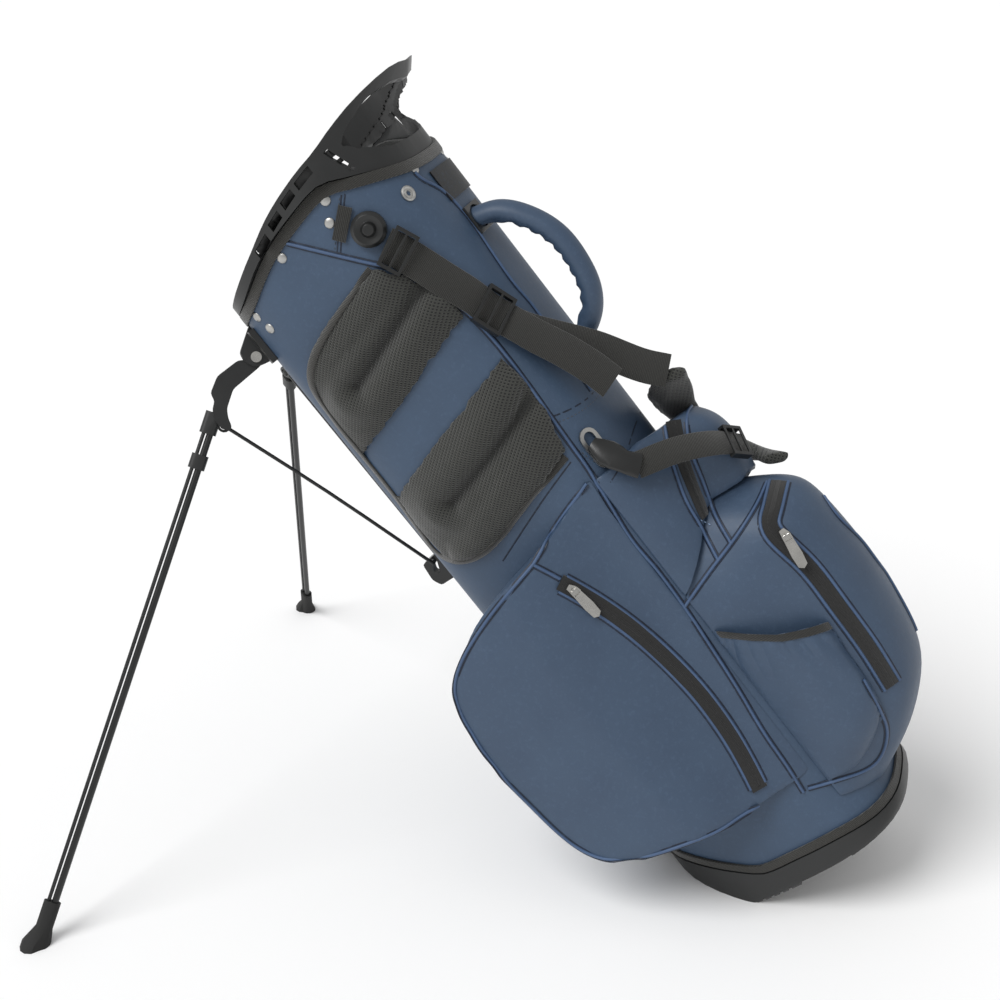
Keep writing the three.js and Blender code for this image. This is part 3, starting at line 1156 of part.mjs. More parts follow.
// Carry handle: a padded loop with its ends on the spine
function handleGeometry() {
  const path = splinePath(sharePoints(handleShares), 24);
  const start = path[0].clone().setX(tubeHalfDepth + seatGap + runningGap);
  const end = path.at(-1).clone().setX(tubeHalfDepth + seatGap + runningGap);
  const inner = [start, ...path.slice(1, -1), end];
  const side = new THREE.Vector3(0, 1, 0);
  const rings = inner.map((point, i) => {
    const first = i === 0;
    const last = i === inner.length - 1;
    const along = inner[Math.min(i + 1, inner.length - 1)].clone().sub(inner[Math.max(i - 1, 0)]).normalize();
    if (first || last) along.set(first ? 1 : -1, 0, 0);
    const out = new THREE.Vector3().crossVectors(side, along).normalize();
    return range(14, 0, 2 * Math.PI).slice(0, -1).map((turn) =>
      point.clone()
        .addScaledVector(side, handleHalfWidth * Math.cos(turn))
        .addScaledVector(out, handleHalfThickness * Math.sin(turn)));
  });
  return loft(rings);
}

function patchGeometry() {
  const us = range(8, patchLowDegrees, patchHighDegrees);
  return sheet(us, [patchLow, patchHigh],
    (angle, height) => onTube(degrees(angle), height, seatGap + patchThickness),
    (angle, height) => onTube(degrees(angle), height, seatGap));
}

// Shoulder strap
const toVectors = (rows) => rows.map((row) => new THREE.Vector3(...row).normalize());
function webPath(shares, normalRows, steps = 20) {
  const path = splinePath(sharePoints(shares), steps);
  const normals = toVectors(normalRows);
  const blended = path.map((_, i) => {
    const place = (i / steps) * (normals.length - 1);
    const k = Math.min(Math.floor(place), normals.length - 2);
    return normals[k].clone().lerp(normals[k + 1], place - k).normalize();
  });
  return [path, blended];
}
const webGeometry = (shares, normalRows, width) => strip(...webPath(shares, normalRows), width, webThickness);
const upperWeb = webPath(upperWebShares, upperWebNormals);
const lowerWeb = webPath(lowerWebShares, lowerWebNormals);

// A slide buckle that a webbing runs through, with two bars over it
function frameOn([path, normals], placeShare, webbing, length) {
  const i = Math.round(placeShare * (path.length - 1));
  const along = path[Math.min(i + 1, path.length - 1)].clone().sub(path[Math.max(i - 1, 0)]).normalize();
  const across = new THREE.Vector3().crossVectors(normals[i], along).normalize();
  const face = new THREE.Vector3().crossVectors(along, across).normalize();
  const half = webbing / 2 + frameMargin;
  const tunnel = webThickness / 2 + frameLift;
  const body = block(-length / 2, length / 2, -half, half, -webThickness / 2, tunnel + frameWall);
  const hollow = block(-overrun, overrun, -webbing / 2 - 2 * seatGap, webbing / 2 + 2 * seatGap, -overrun, tunnel);
  const opening = length / 2 - 2 * frameWall;
  const windows = [-1, 1].map((side) => {
    const x = side * (opening / 2 + frameWall / 2);
    return block(x - opening / 2, x + opening / 2, -webbing / 2 - seatGap, webbing / 2 + seatGap, 0, overrun);
  });
  return cut(body, hollow, ...windows).applyMatrix4(new THREE.Matrix4().makeBasis(along, across, face).setPosition(path[i]));
}

function slotRing(length, width, thickness, grow) {
  const half = (length - width) / 2;
  const ring = (z, radius) => [1, -1].flatMap((side) => range(8, 0, Math.PI).map((turn) =>
    new THREE.Vector3(z, side * radius * Math.cos(turn), side * (half + radius * Math.sin(turn)))));
  const outer = loft([ring(0, width / 2 + grow), ring(thickness, width / 2 + grow * 0.4)]);
  return cut(outer, loft([ring(-overrun, width / 2 - grommetWall), ring(overrun, width / 2 - grommetWall)]));
}
function grommetGeometry() {
  const angle = degrees(grommetDegrees);
  const place = onTube(angle, grommetHeightShare * tubeHeight, seatGap);
  const normal = onTube(angle + 0.01, 0).sub(onTube(angle - 0.01, 0)).cross(new THREE.Vector3(0, 0, 1));
  return slotRing(grommetLength, grommetWidth, grommetThickness, 0)
    .rotateZ(Math.atan2(normal.y, normal.x)).translate(place.x, place.y, place.z);
}
function buckleGeometry() {
  const path = splinePath(sharePoints(buckleShares), 6);
  const widths = [0.55, 0.8, 1, 1, 0.85, 0.9, 0.95];
  const rings = path.map((point, i) => {
    const along = path[Math.min(i + 1, 6)].clone().sub(path[Math.max(i - 1, 0)]).normalize();
    const normal = new THREE.Vector3(point.x, point.y * 1.3, 0).normalize();
    const across = new THREE.Vector3().crossVectors(normal, along).normalize();
    const face = new THREE.Vector3().crossVectors(along, across).normalize();
    return range(12, 0, 2 * Math.PI).slice(0, -1).map((turn) =>
      point.clone()
        .addScaledVector(across, (widths[i] * buckleWidth / 2) * Math.cos(turn))
        .addScaledVector(face, (buckleThickness / 2) * Math.sin(turn)));
  });
  return loft(rings);
}
function shoulderPadGeometry() {
  const [path, normals] = webPath(shoulderPadShares, shoulderPadNormals, 14);
  return strip(path, normals, shoulderPadWidth, shoulderPadThickness, 12, shoulderPadTaper);
}
function handleRingGeometry() {
  const [start] = sharePoints(handleShares);
  const outer = handleHalfWidth + handleRingMargin;
  const tall = handleHalfThickness + handleRingMargin;
  const x = tubeHalfDepth + 2 * seatGap;
  const plateBlock = block(x, x + handleRingThickness, -outer, outer, start.z - tall, start.z + tall);
  const hole = loft([-1, 1].map((side) => range(14, 0, 2 * Math.PI).slice(0, -1).map((turn) =>
    new THREE.Vector3(x + side * overrun, (handleHalfWidth + 2 * seatGap) * Math.cos(turn),
      start.z + (handleHalfThickness + 3 * seatGap) * Math.sin(turn)))));
  return cut(plateBlock, hole);
}

function tubeFacing(shares, geometry) {
  const [place] = sharePoints(shares);
  const bend = tubeSquareness - 1;
  const nx = (Math.sign(place.x) * Math.abs(place.x / tubeHalfDepth) ** bend) / tubeHalfDepth;
  const ny = (Math.sign(place.y) * Math.abs(place.y / tubeHalfWidth) ** bend) / tubeHalfWidth;
  const turn = Math.atan2(ny, nx);
  return geometry.rotateZ(turn).translate(place.x, place.y, place.z);
}

const hubGeometry = () => {
  const profile = [[0, 0], [hubRadius, 0], [hubRadius, hubThickness * 0.6], [hubRadius * 0.8, hubThickness],
    [hubRadius * 0.45, hubThickness * 0.8], [hubRadius * 0.3, hubThickness * 1.3], [0, hubThickness * 1.3]];
  const lathe = new THREE.LatheGeometry(profile.map(([x, y]) => new THREE.Vector2(x, y)), 24);
  return tubeFacing(hubShares, lathe.rotateZ(-Math.PI / 2));
};

// Facing directions of the zips, and the way their pulls hang over them
const outwardOf = (arc) => arc.axis.clone().multiplyScalar(arc.axis.y > 0 ? -1 : 1);
const ballNormal = () => {
  const at = ballArc.at(zipStart);
  const angle = THREE.MathUtils.radToDeg(Math.atan2(at.y, at.x));
  const wide = ballSurface(angle + 1, at.z, 0).sub(ballSurface(angle - 1, at.z, 0));
  const tall = ballSurface(angle, at.z + 1, 0).sub(ballSurface(angle, at.z - 1, 0));
  return wide.cross(tall).normalize();
};
const down = new THREE.Vector3(-Math.sin(lean), 0, -Math.cos(lean));
const hangingFrom = (facing) => down.clone().addScaledVector(facing, -down.dot(facing)).normalize();
const apparelFacing = outwardOf(apparelArc);
const ballFacing = ballNormal();

// Assembly
const golfBag = new THREE.Group();
const bag = new THREE.Group();
bag.rotation.y = -lean;
const seatX = -heelEdge - (pedalPinSetback - pedalBarrelRadius - runningGap) / 2 * Math.cos(lean);
const seatZ = (pedalPinSetback - pedalBarrelRadius - runningGap) / 2 * Math.sin(lean);
bag.position.set(-(seatX * Math.cos(lean) - seatZ * Math.sin(lean)), 0, -(seatX * Math.sin(lean) + seatZ * Math.cos(lean)));
golfBag.add(bag);

bag.add(piece("body_shell", shellGeometry(), navyLeather()));
bag.add(piece("base_cup", baseCupGeometry(), blackPlastic()));
bag.add(piece("base_binding", baseBindingGeometry(), blackWebbing()));
bag.add(piece("top_binding", topBindingGeometry(), blackWebbing()));
bag.add(piece("top_cuff", cuffGeometry(), blackPlastic()));
bag.add(piece("cuff_liner", linerGeometry(), blackMesh()));
bag.add(piece("club_dividers", dividerGeometry(), blackMesh()));
bag.add(piece("leg_bracket", bracketGeometry(), blackPlastic()));
bag.add(piece("actuator_rod", actuatorGeometry(), blackMetal()));
bag.add(piece("rod_sleeve", sleeveGeometry(), blackPlastic()));

const floorGroup = new THREE.Group();
floorGroup.position.x = -heelEdge;
floorGroup.rotation.y = lean;
floorGroup.add(piece("base_pedal", pedalGeometry(), blackPlastic()));
floorGroup.add(piece("base_pedal_pin", pedalPinGeometry(), brightMetal()));
bag.add(floorGroup);

// Each side holds a leg, its wire and pin, a stay and a side pocket; the far side mirrors the near one
for (const side of ["near", "far"]) {
  const half = new THREE.Group();
  if (side === "far") half.scale.y = -1;
  const leg = new THREE.Group();
  leg.position.copy(pivot);
  leg.rotation.z = legTurn;
  leg.add(piece(side + "_leg_pin", legPinGeometry(), brightMetal()));
  leg.add(piece(side + "_leg_knuckle", knuckleGeometry(), blackPlastic()));
  leg.add(piece(side + "_leg_tube", rodBetween(alongLeg(tubeStart, seatGap), alongLeg(tubeStart, legLength), legTubeRadius, 12), blackMetal()));
  leg.add(piece(side + "_leg_rod", rodBetween(alongLeg(rodStart, seatGap), alongLeg(rodStart, legLength), legRodRadius, 10), blackMetal()));
  leg.add(piece(side + "_leg_clip", clipGeometry(), blackPlastic()));
  leg.add(piece(side + "_leg_foot", footGeometry(), blackRubber()));
  half.add(leg);
  half.add(piece(side + "_brace_wire", wireGeometry(), blackMetal()));
  half.add(piece(side + "_stay", stayGeometry(), blackMetal()));
  half.add(piece(side + "_apparel_pocket", apparelGeometry(), navyLeather()));
  half.add(piece(side + "_apparel_zip", apparelZipGeometry(), blackWebbing()));
  half.add(piece(side + "_apparel_slider", sliderGeometry(apparelArc, apparelFacing), brightMetal()));
  half.add(piece(side + "_apparel_pull", pullGeometry(apparelArc, apparelFacing), brightMetal()));
  bag.add(half);
}

bag.add(piece("ball_slider", sliderGeometry(ballArc, ballFacing), brightMetal()));
bag.add(piece("ball_pull", pullGeometry(ballArc, ballFacing), brightMetal()));
bag.add(piece("ball_pocket", ballGeometry(), navyLeather()));
bag.add(piece("bottle_pocket", bottleGeometry(), navyLeather()));
bag.add(piece("bottle_elastic", elasticGeometry(), blackWebbing()));
bag.add(piece("valuables_pocket", valuablesGeometry(), navyLeather()));
bag.add(piece("upper_hip_pad",
  padGeometry(upperPadFootShares, upperPadTopShares, upperPadLegShares, upperPadSpineShares), blackMesh()));
bag.add(piece("lower_hip_pad",
  padGeometry(lowerPadFootShares, lowerPadTopShares, lowerPadLegShares, lowerPadSpineShares), blackMesh()));
bag.add(piece("carry_handle", handleGeometry(), navyLeather()));
bag.add(piece("label_patch", patchGeometry(), blackPlastic()));
bag.add(piece("strap_hub", hubGeometry(), blackPlastic()));
bag.add(piece("strap_ladder", frameOn(upperWeb, ladderPlaceShare, webWidth, ladderLength), blackPlastic()));
bag.add(piece("upper_adjuster", frameOn(upperWeb, adjusterPlaceShare, webWidth, adjusterLength), blackPlastic()));
bag.add(piece("lower_adjuster", frameOn(lowerWeb, lowerAdjusterPlaceShare, lowerWebWidth, lowerAdjusterLength), blackPlastic()));
bag.add(piece("strap_grommet", grommetGeometry(), blackPlastic()));
bag.add(piece("lower_buckle", buckleGeometry(), blackPlastic()));
bag.add(piece("shoulder_pad", shoulderPadGeometry(), blackMesh()));
bag.add(piece("handle_ring", handleRingGeometry(), blackPlastic()));
bag.add(piece("ball_zip", ballZipGeometry(), blackWebbing()));
bag.add(piece("valuables_zip", valuablesZipGeometry(), blackWebbing()));
const upperWebbing = join(webGeometry(upperWebShares, upperWebNormals, webWidth), webGeometry(tailShares, tailNormals, webWidth));
bag.add(piece("upper_webbing", upperWebbing, blackWebbing()));
bag.add(piece("strap_stub", webGeometry(stubShares, stubNormals, webWidth), blackWebbing()));
bag.add(piece("lower_webbing", webGeometry(lowerWebShares, lowerWebNormals, lowerWebWidth), blackWebbing()));

export default golfBag;
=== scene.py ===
# %% [markdown]
# # Golf stand bag: the looks
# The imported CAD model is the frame: its rigid nodes stay and get real materials. The soft parts
# (pockets, pads, straps, zips, bindings) are replaced here by pieces made as the real ones are: panels
# with a round edge, piping sewn over their seams, webbing that lies flat, pads with foam inside.

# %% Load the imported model
import json
import math

import bpy
import numpy as np
from mathutils import Matrix, Vector
from mathutils.bvhtree import BVHTree

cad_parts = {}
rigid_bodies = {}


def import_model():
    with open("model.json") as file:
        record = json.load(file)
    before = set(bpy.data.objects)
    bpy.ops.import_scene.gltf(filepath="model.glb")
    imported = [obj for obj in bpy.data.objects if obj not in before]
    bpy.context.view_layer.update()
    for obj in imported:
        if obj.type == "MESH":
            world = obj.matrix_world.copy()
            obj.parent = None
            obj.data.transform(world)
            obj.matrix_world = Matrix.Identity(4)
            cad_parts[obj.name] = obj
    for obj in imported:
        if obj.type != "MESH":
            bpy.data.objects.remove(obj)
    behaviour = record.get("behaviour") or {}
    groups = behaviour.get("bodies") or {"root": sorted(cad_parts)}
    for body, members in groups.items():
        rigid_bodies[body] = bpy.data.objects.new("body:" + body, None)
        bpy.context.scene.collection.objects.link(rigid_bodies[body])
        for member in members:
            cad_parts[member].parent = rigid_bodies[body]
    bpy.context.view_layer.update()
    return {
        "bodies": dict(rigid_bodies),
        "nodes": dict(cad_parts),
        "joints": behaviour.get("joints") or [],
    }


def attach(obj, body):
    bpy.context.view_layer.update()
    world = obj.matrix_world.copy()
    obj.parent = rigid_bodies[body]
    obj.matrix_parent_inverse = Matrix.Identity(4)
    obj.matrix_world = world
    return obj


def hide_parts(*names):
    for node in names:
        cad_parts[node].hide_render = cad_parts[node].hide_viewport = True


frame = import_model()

nodes = frame["nodes"]
kept_objects = set(nodes.values()) | set(frame["bodies"].values())
for stray in [thing for thing in bpy.data.objects if thing not in kept_objects]:
    bpy.data.objects.remove(stray)
scene = bpy.context.scene
print(len(nodes), "nodes in the frame")

# %% [markdown]
# ## The bag's own frame
# The bag leans on its legs. Its length, depth and width are easier to name along the bag itself, so a
# place is given as (forward, sideways, height) in mm from the middle of the base, and turned into the
# part's frame by one matrix. The lean comes from the direction of the rod that slides along the bag.

# %% Places on the bag
MM = 0.001
rod_axis = next(joint for joint in frame["joints"] if joint["name"] == "actuator_slide")["axis"]
LEAN = math.atan2(rod_axis[0], -rod_axis[2])
BAG_ORIGIN = Vector((46.05, 0, 32.49)) * MM
BAG = Matrix.Translation(BAG_ORIGIN) @ Matrix.Rotation(-LEAN, 4, "Y")


def bag(forward, sideways, height):
    """A place given along the bag, in mm, as a place in the part's frame."""
    return BAG @ (Vector((forward, sideways, height)) * MM)


def bag_facing(facing):
    """A direction given along the bag, as a unit direction in the part's frame."""
    return (BAG.to_3x3() @ Vector(facing)).normalized()


print("the bag leans", round(math.degrees(LEAN), 2), "degrees")

# %% [markdown]
# ## Camera
# The camera was fitted to the photograph first, because a seam that is seen in the picture can then be
# placed by sending a ray through its pixels onto the bag's own surface.

# %% Camera
PHOTO = 1000
SENSOR = 36
LENS = 57.4
CAMERA_PLACE = Vector((0.1063, -1.4469, 1.0836))
CAMERA_TURN = (math.radians(64.88), 0, math.radians(15.71))
bpy.ops.object.camera_add(location=CAMERA_PLACE, rotation=CAMERA_TURN)
camera = bpy.context.object
camera.data.lens = LENS
camera.data.sensor_width = SENSOR
camera.data.clip_end = 60
scene.camera = camera
bpy.context.view_layer.update()
camera_matrix = camera.matrix_world.to_3x3()


def sight(across, down):
    """The direction from the camera through one pixel of the photograph."""
    focal = PHOTO * LENS / SENSOR
    half = PHOTO / 2
    return (camera_matrix @ Vector(((across - half) / focal, (half - down) / focal, -1))).normalized()


def on_photo(place):
    """The pixel of the photograph where a place shows."""
    x, y, z = camera_matrix.inverted() @ (place - CAMERA_PLACE)
    focal = PHOTO * LENS / SENSOR
    return PHOTO / 2 - x / z * focal, PHOTO / 2 + y / z * focal


print("camera at", tuple(camera.location))

# %% [markdown]
# ## Helpers for shapes
# A cordlet, a strap or a row of stitches is one outline carried along a line. Blender's primitives can't
# give a band that turns with given facings, so `sweep` writes its rings as mesh code. Its UV map holds
# metres along and across the band, and a weave follows the band through it.

# %% Lines and sweeps
CURVE_STEPS = 12
SWEPT_CORNER = math.radians(50)
PANEL_CORNER = math.radians(40)


def smooth_line(rows, spacing, axes=3):
    """Rows at even steps on a smooth curve through the given rows; the first axes are its place."""
    rows = np.array(rows, float)
    ends = np.vstack([2 * rows[0] - rows[1], rows, 2 * rows[-1] - rows[-2]])
    t = (np.arange(1, CURVE_STEPS + 1) / CURVE_STEPS)[:, None]
    curve = [rows[:1]]
    for a, b, c, d in zip(ends, ends[1:], ends[2:], ends[3:]):
        curve.append((2 * b + (c - a) * t + (2 * a - 5 * b + 4 * c - d) * t ** 2
                      + (3 * b - a - 3 * c + d) * t ** 3) / 2)
    return evenly(np.vstack(curve), spacing, axes)


def evenly(curve, spacing, axes=3):
    """The rows of a line, taken again at even steps along it."""
    along = distances(curve[:, :axes])
    marks = np.linspace(0, along[-1], max(2, round(along[-1] / spacing)) + 1)
    return np.column_stack([np.interp(marks, along, column) for column in curve.T])


def distances(line):
    """The distance along a line at each of its points."""
    return np.concatenate([[0], np.cumsum(np.linalg.norm(np.diff(line, axis=0), axis=1))])


def units(rows):
    """Each row scaled to length one."""
    return rows / np.maximum(np.linalg.norm(rows, axis=1, keepdims=True), 1e-9)


def sweep(line, normals, section):
    """Rings of a section, rows of (across, up) in metres, carried along a line with given facings."""
    line = np.asarray(line, float)
    section = np.broadcast_to(section, (len(line),) + np.shape(section)[-2:])
    tangents = units(np.gradient(line, axis=0))
    across = units(np.cross(tangents, normals))
    up = np.cross(across, tangents)
    rings = (line[:, None] + across[:, None] * section[:, :, :1] + up[:, None] * section[:, :, 1:])
    stations, count = section.shape[:2]
    faces = [[i * count + k, i * count + (k + 1) % count, (i + 1) * count + (k + 1) % count,
              (i + 1) * count + k] for i in range(stations - 1) for k in range(count)]
    faces += [list(range(count))[::-1], [(stations - 1) * count + k for k in range(count)]]
    along = np.repeat(distances(line), count)
    return rings.reshape(-1, 3), faces, np.column_stack([along, section[:, :, 0].reshape(-1)])


def round_section(radius, sides=8):
    """The outline of a round cord."""
    turn = np.linspace(0, 2 * math.pi, sides, endpoint=False)
    return np.column_stack([np.cos(turn), np.sin(turn)]) * radius


def flat_section(width, thickness, edge=0.3):
    """The outline of a strap: flat, with worn round edges. edge is a share of its thickness."""
    w, t = width / 2, thickness / 2
    e = 2 * t * edge
    return np.array([(-w, -t + e), (-w + e, -t), (0, -t), (w - e, -t), (w, -t + e),
                     (w, t - e), (w - e, t), (0, t), (-w + e, t), (-w, t - e)])


def select_only(piece):
    """Deselects everything else and makes the piece active."""
    bpy.ops.object.select_all(action="DESELECT")
    piece.select_set(True)
    bpy.context.view_layer.objects.active = piece


def edit(*operators):
    """Runs mesh operators on all of the active piece."""
    bpy.ops.object.mode_set(mode="EDIT")
    bpy.ops.mesh.select_all(action="SELECT")
    for operator, settings in operators:
        operator(**settings)
    bpy.ops.object.mode_set(mode="OBJECT")


def new_object(name, mesh):
    """A new object around a mesh, at the part's origin, linked and selected."""
    piece = bpy.data.objects.new(name, mesh)
    scene.collection.objects.link(piece)
    select_only(piece)
    return piece


def mesh_piece(name, parts):
    """One object out of sweeps, with their UV map, normals outward and smooth faces."""
    points, faces, places, first = [], [], [], 0
    for part_points, part_faces, part_places in parts:
        faces += [[first + index for index in face] for face in part_faces]
        points.append(part_points)
        places.append(part_places)
        first += len(part_points)
    mesh = bpy.data.meshes.new(name)
    mesh.from_pydata(np.vstack(points).tolist(), [], faces)
    places = np.vstack(places)
    loops = np.empty(len(mesh.loops), int)
    mesh.loops.foreach_get("vertex_index", loops)
    mesh.uv_layers.new(name="Band").data.foreach_set("uv", places[loops].ravel())
    piece = new_object(name, mesh)
    edit((bpy.ops.mesh.normals_make_consistent, {"inside": False}))
    bpy.ops.object.shade_smooth_by_angle(angle=SWEPT_CORNER)
    return piece


def dress(piece, material, body="bag", replaces=()):
    """Gives a new piece its material and body, and hides the CAD nodes it stands for."""
    piece.data.materials.clear()
    piece.data.materials.append(material)
    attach(piece, body)
    if replaces:
        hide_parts(*replaces)
    return piece


def lay(name, route, lift, section, material, replaces=()):
    """One sweep along a line on the bag's surface, lifted off it, as a dressed piece."""
    places, normals = route
    piece = mesh_piece(name, [sweep(places + normals * lift, normals, section)])
    return dress(piece, material, replaces=replaces)


def apply_modifier(piece, kind, **settings):
    """Adds one modifier with its settings and applies it."""
    select_only(piece)
    modifier = piece.modifiers.new(kind.title(), kind)
    for key, value in settings.items():
        setattr(modifier, key, value)
    bpy.ops.object.modifier_apply(modifier=modifier.name)


print("line and sweep helpers ready")

# %% [markdown]
# ## Helpers for soft parts and seams
# A soft part starts from its CAD solid and is rounded by a subdivision surface. A seam starts as a line
# of pixels of the photograph: each pixel's ray gives a place on the bag and the way its surface faces.

# %% Cages and rays
EDGE_CREASE = 0.45
SAME_POINT = 0.02 * MM
PIXEL_STEP = 3
TRACE_STEP = 4 * MM


def soft_copy(node, name, levels):
    """A soft part's CAD solid as the cage of a subdivision surface, in a mesh of its own."""
    piece = new_object(name, nodes[node].data.copy())
    edit((bpy.ops.mesh.remove_doubles, {"threshold": SAME_POINT}),
         (bpy.ops.mesh.customdata_custom_splitnormals_clear, {}),
         (bpy.ops.mesh.tris_convert_to_quads, {}),
         (bpy.ops.mesh.normals_make_consistent, {"inside": False}),
         (bpy.ops.mesh.select_all, {"action": "DESELECT"}),
         (bpy.ops.mesh.edges_select_sharp, {"sharpness": PANEL_CORNER}),
         (bpy.ops.transform.edge_crease, {"value": EDGE_CREASE}))
    if levels:
        apply_modifier(piece, "SUBSURF", levels=levels)
    bpy.ops.object.shade_smooth_by_angle(angle=PANEL_CORNER)
    return piece


def skin(*pieces):
    """The surfaces of some objects, ready for rays."""
    graph = bpy.context.evaluated_depsgraph_get()
    return [BVHTree.FromObject(piece, graph) for piece in pieces]


def first_hit(start, ray, skins):
    """Where a ray first meets some surfaces: place, facing, face and distance, or None."""
    hits = [hit for hit in (tree.ray_cast(start, ray) for tree in skins) if hit[0]]
    return min(hits, key=lambda hit: hit[3]) if hits else None


def nearest(spot, skins):
    """The place on some surfaces that is nearest to a spot, and its facing."""
    return min((tree.find_nearest(spot) for tree in skins), key=lambda hit: hit[3])[:2]


def settle(places, normals, passes=2):
    """Evens out a line laid on a surface, ends kept."""
    for _ in range(passes):
        for rows in (places, normals):
            rows[1:-1] = (rows[:-2] + 2 * rows[1:-1] + rows[2:]) / 4
    return places, units(normals)


def trace(pixels, skins, passes=4):
    """A line of the photograph, in pixels, laid on the surfaces that the camera sees there."""
    places, normals, depth = [], [], None
    for pixel in smooth_line(pixels, PIXEL_STEP, axes=2):
        ray = sight(*pixel)
        hit = first_hit(CAMERA_PLACE, ray, skins)
        if hit:
            place, normal, _, depth = hit
        elif depth:
            # Just past the outline the ray misses, so the line keeps to the surface nearest to it.
            for _ in range(3):
                place, normal = nearest(CAMERA_PLACE + ray * depth, skins)
                depth = (place - CAMERA_PLACE).dot(ray)
        else:
            continue
        places.append(place)
        normals.append(normal if normal.dot(ray) < 0 else -normal)
    places, normals = settle(np.array(places), np.array(normals), passes)
    rows = evenly(np.hstack([places, normals]), TRACE_STEP)
    return rows[:, :3], units(rows[:, 3:])


def beside(route, offset, skins):
    """A line at one distance beside another, on the same surfaces."""
    places, normals = route
    across = units(np.cross(units(np.gradient(places, axis=0)), normals))
    landed = [nearest(Vector(place), skins) for place in places + across * offset]
    return settle(np.array([hit[0] for hit in landed]), np.array([hit[1] for hit in landed]))


def mirrored(route):
    """The same line on the bag's other side."""
    flip = np.array([1, -1, 1])
    return route[0] * flip, route[1] * flip


print("soft part and seam helpers ready")

# %% [markdown]
# ## Helpers for materials
# A colour is written as it is read off a picture, in sRGB hex, and turned into the linear value that the
# shader works in. `add` puts a node into a tree with its settings and links in one line.

# %% Colours and nodes
def colour(text):
    """A linear colour from an sRGB hex text."""
    parts = [int(text[i:i + 2], 16) / 255 for i in (1, 3, 5)]
    return [c / 12.92 if c <= 0.04045 else ((c + 0.055) / 1.055) ** 2.4 for c in parts] + [1]


def connect(tree, node, links):
    """Links sockets of a node to other nodes' outputs."""
    for key, source in links.items():
        tree.links.new(source, node.inputs[key])


def add(tree, kind, settings=None, links=None):
    """Adds a shader node, sets its values and sockets, and links sockets to other nodes' outputs."""
    node = tree.nodes.new("ShaderNode" + kind)
    for key, value in (settings or {}).items():
        if isinstance(key, str) and hasattr(node, key):
            setattr(node, key, value)
        else:
            node.inputs[key].default_value = value
    connect(tree, node, links or {})
    return node


def new_material(name, settings):
    """A material with one principled shader; returns the material, its tree and the shader."""
    material = bpy.data.materials.new(name)
    material.use_nodes = True
    tree = material.node_tree
    shader = tree.nodes["Principled BSDF"]
    for key, value in settings.items():
        shader.inputs[key].default_value = value
    return material, tree, shader


def mix_colours(tree, amount, first, second):
    """A colour between two others; amount is another node's output."""
    mixer = add(tree, "Mix", {"data_type": "RGBA"}, {0: amount})
    for index, value in ((6, first), (7, second)):
        if isinstance(value, str):
            mixer.inputs[index].default_value = colour(value)
        else:
            tree.links.new(value, mixer.inputs[index])
    return mixer.outputs[2]


def object_place(tree, turn=(0, 0, 0)):
    """Object coordinates in metres, turned so that a pattern lies along the bag."""
    coordinates = add(tree, "TexCoord")
    return add(tree, "Mapping", {"Rotation": turn}, {"Vector": coordinates.outputs["Object"]}).outputs[0]


def noise(tree, place, size, detail=3, roughness=0.5):
    """Soft noise whose lumps are about size metres across."""
    settings = {"Scale": 1 / size, "Detail": detail, "Roughness": roughness}
    return add(tree, "TexNoise", settings, {"Vector": place}).outputs[0]


def ramp(tree, value, low, high):
    """A value stretched so that low gives 0 and high gives 1."""
    return add(tree, "MapRange", {1: low, 2: high}, {0: value}).outputs[0]


def bump(tree, height, depth, strength=1, before=None):
    """A bump of a real depth in metres, on top of another bump if there is one."""
    links = {"Height": height}
    if before:
        links["Normal"] = before
    return add(tree, "Bump", {"Distance": depth, "Strength": strength}, links).outputs[0]


def waves(tree, place, period, direction="X"):
    """Ridges one period apart, along one axis of the coordinates, from 0 to 1."""
    settings = {"wave_type": "BANDS", "bands_direction": direction, "Scale": math.pi / (10 * period)}
    return add(tree, "TexWave", settings, {"Vector": place}).outputs[1]


def maths(tree, operation, *values):
    """One arithmetic step on values or outputs."""
    node = add(tree, "Math", {"operation": operation})
    for index, value in enumerate(values):
        if isinstance(value, (int, float)):
            node.inputs[index].default_value = value
        else:
            tree.links.new(value, node.inputs[index])
    return node.outputs[0]


ALONG_BAG = (0, LEAN, 0)
print("material helpers ready")

# %% [markdown]
# ## Coated leather
# The body and pockets are polyurethane leather: a knit coated with a blue film, pressed on an embossed
# roller. The eye gets a fine pebble about a millimetre across, a satin shine that varies a little, and
# slow waves where the panel is stretched over foam.

# %% Coated leather
WORN_BLUE = "#566b86"
PEBBLE = 1.1 * MM


def leather(name, low, high, waviness=1.0):
    """Blue coated leather between two tones; waviness scales the slow waves of a soft panel."""
    material, tree, shader = new_material(name, {"Specular IOR Level": 0.45})
    place = object_place(tree)
    patches = noise(tree, place, 0.05, detail=5, roughness=0.6)
    pebble = add(tree, "TexVoronoi", {"Scale": 1 / PEBBLE, "feature": "SMOOTH_F1", "Smoothness": 0.6},
                 {"Vector": place}).outputs["Distance"]
    creases = noise(tree, place, 0.0045, detail=4, roughness=0.65)
    tone = mix_colours(tree, ramp(tree, patches, 0.3, 0.7), low, high)
    wear = maths(tree, "MULTIPLY", ramp(tree, creases, 0.52, 0.8), 0.25)
    slow = bump(tree, noise(tree, place, 0.045, detail=2), 3 * MM * waviness, 0.35)
    fine = bump(tree, creases, 0.35 * MM, 0.35, slow)
    connect(tree, shader, {"Base Color": mix_colours(tree, wear, tone, WORN_BLUE),
                           "Roughness": maths(tree, "MULTIPLY_ADD", creases, 0.22, 0.4),
                           "Normal": bump(tree, pebble, 0.12 * MM, 0.5, fine)})
    return material


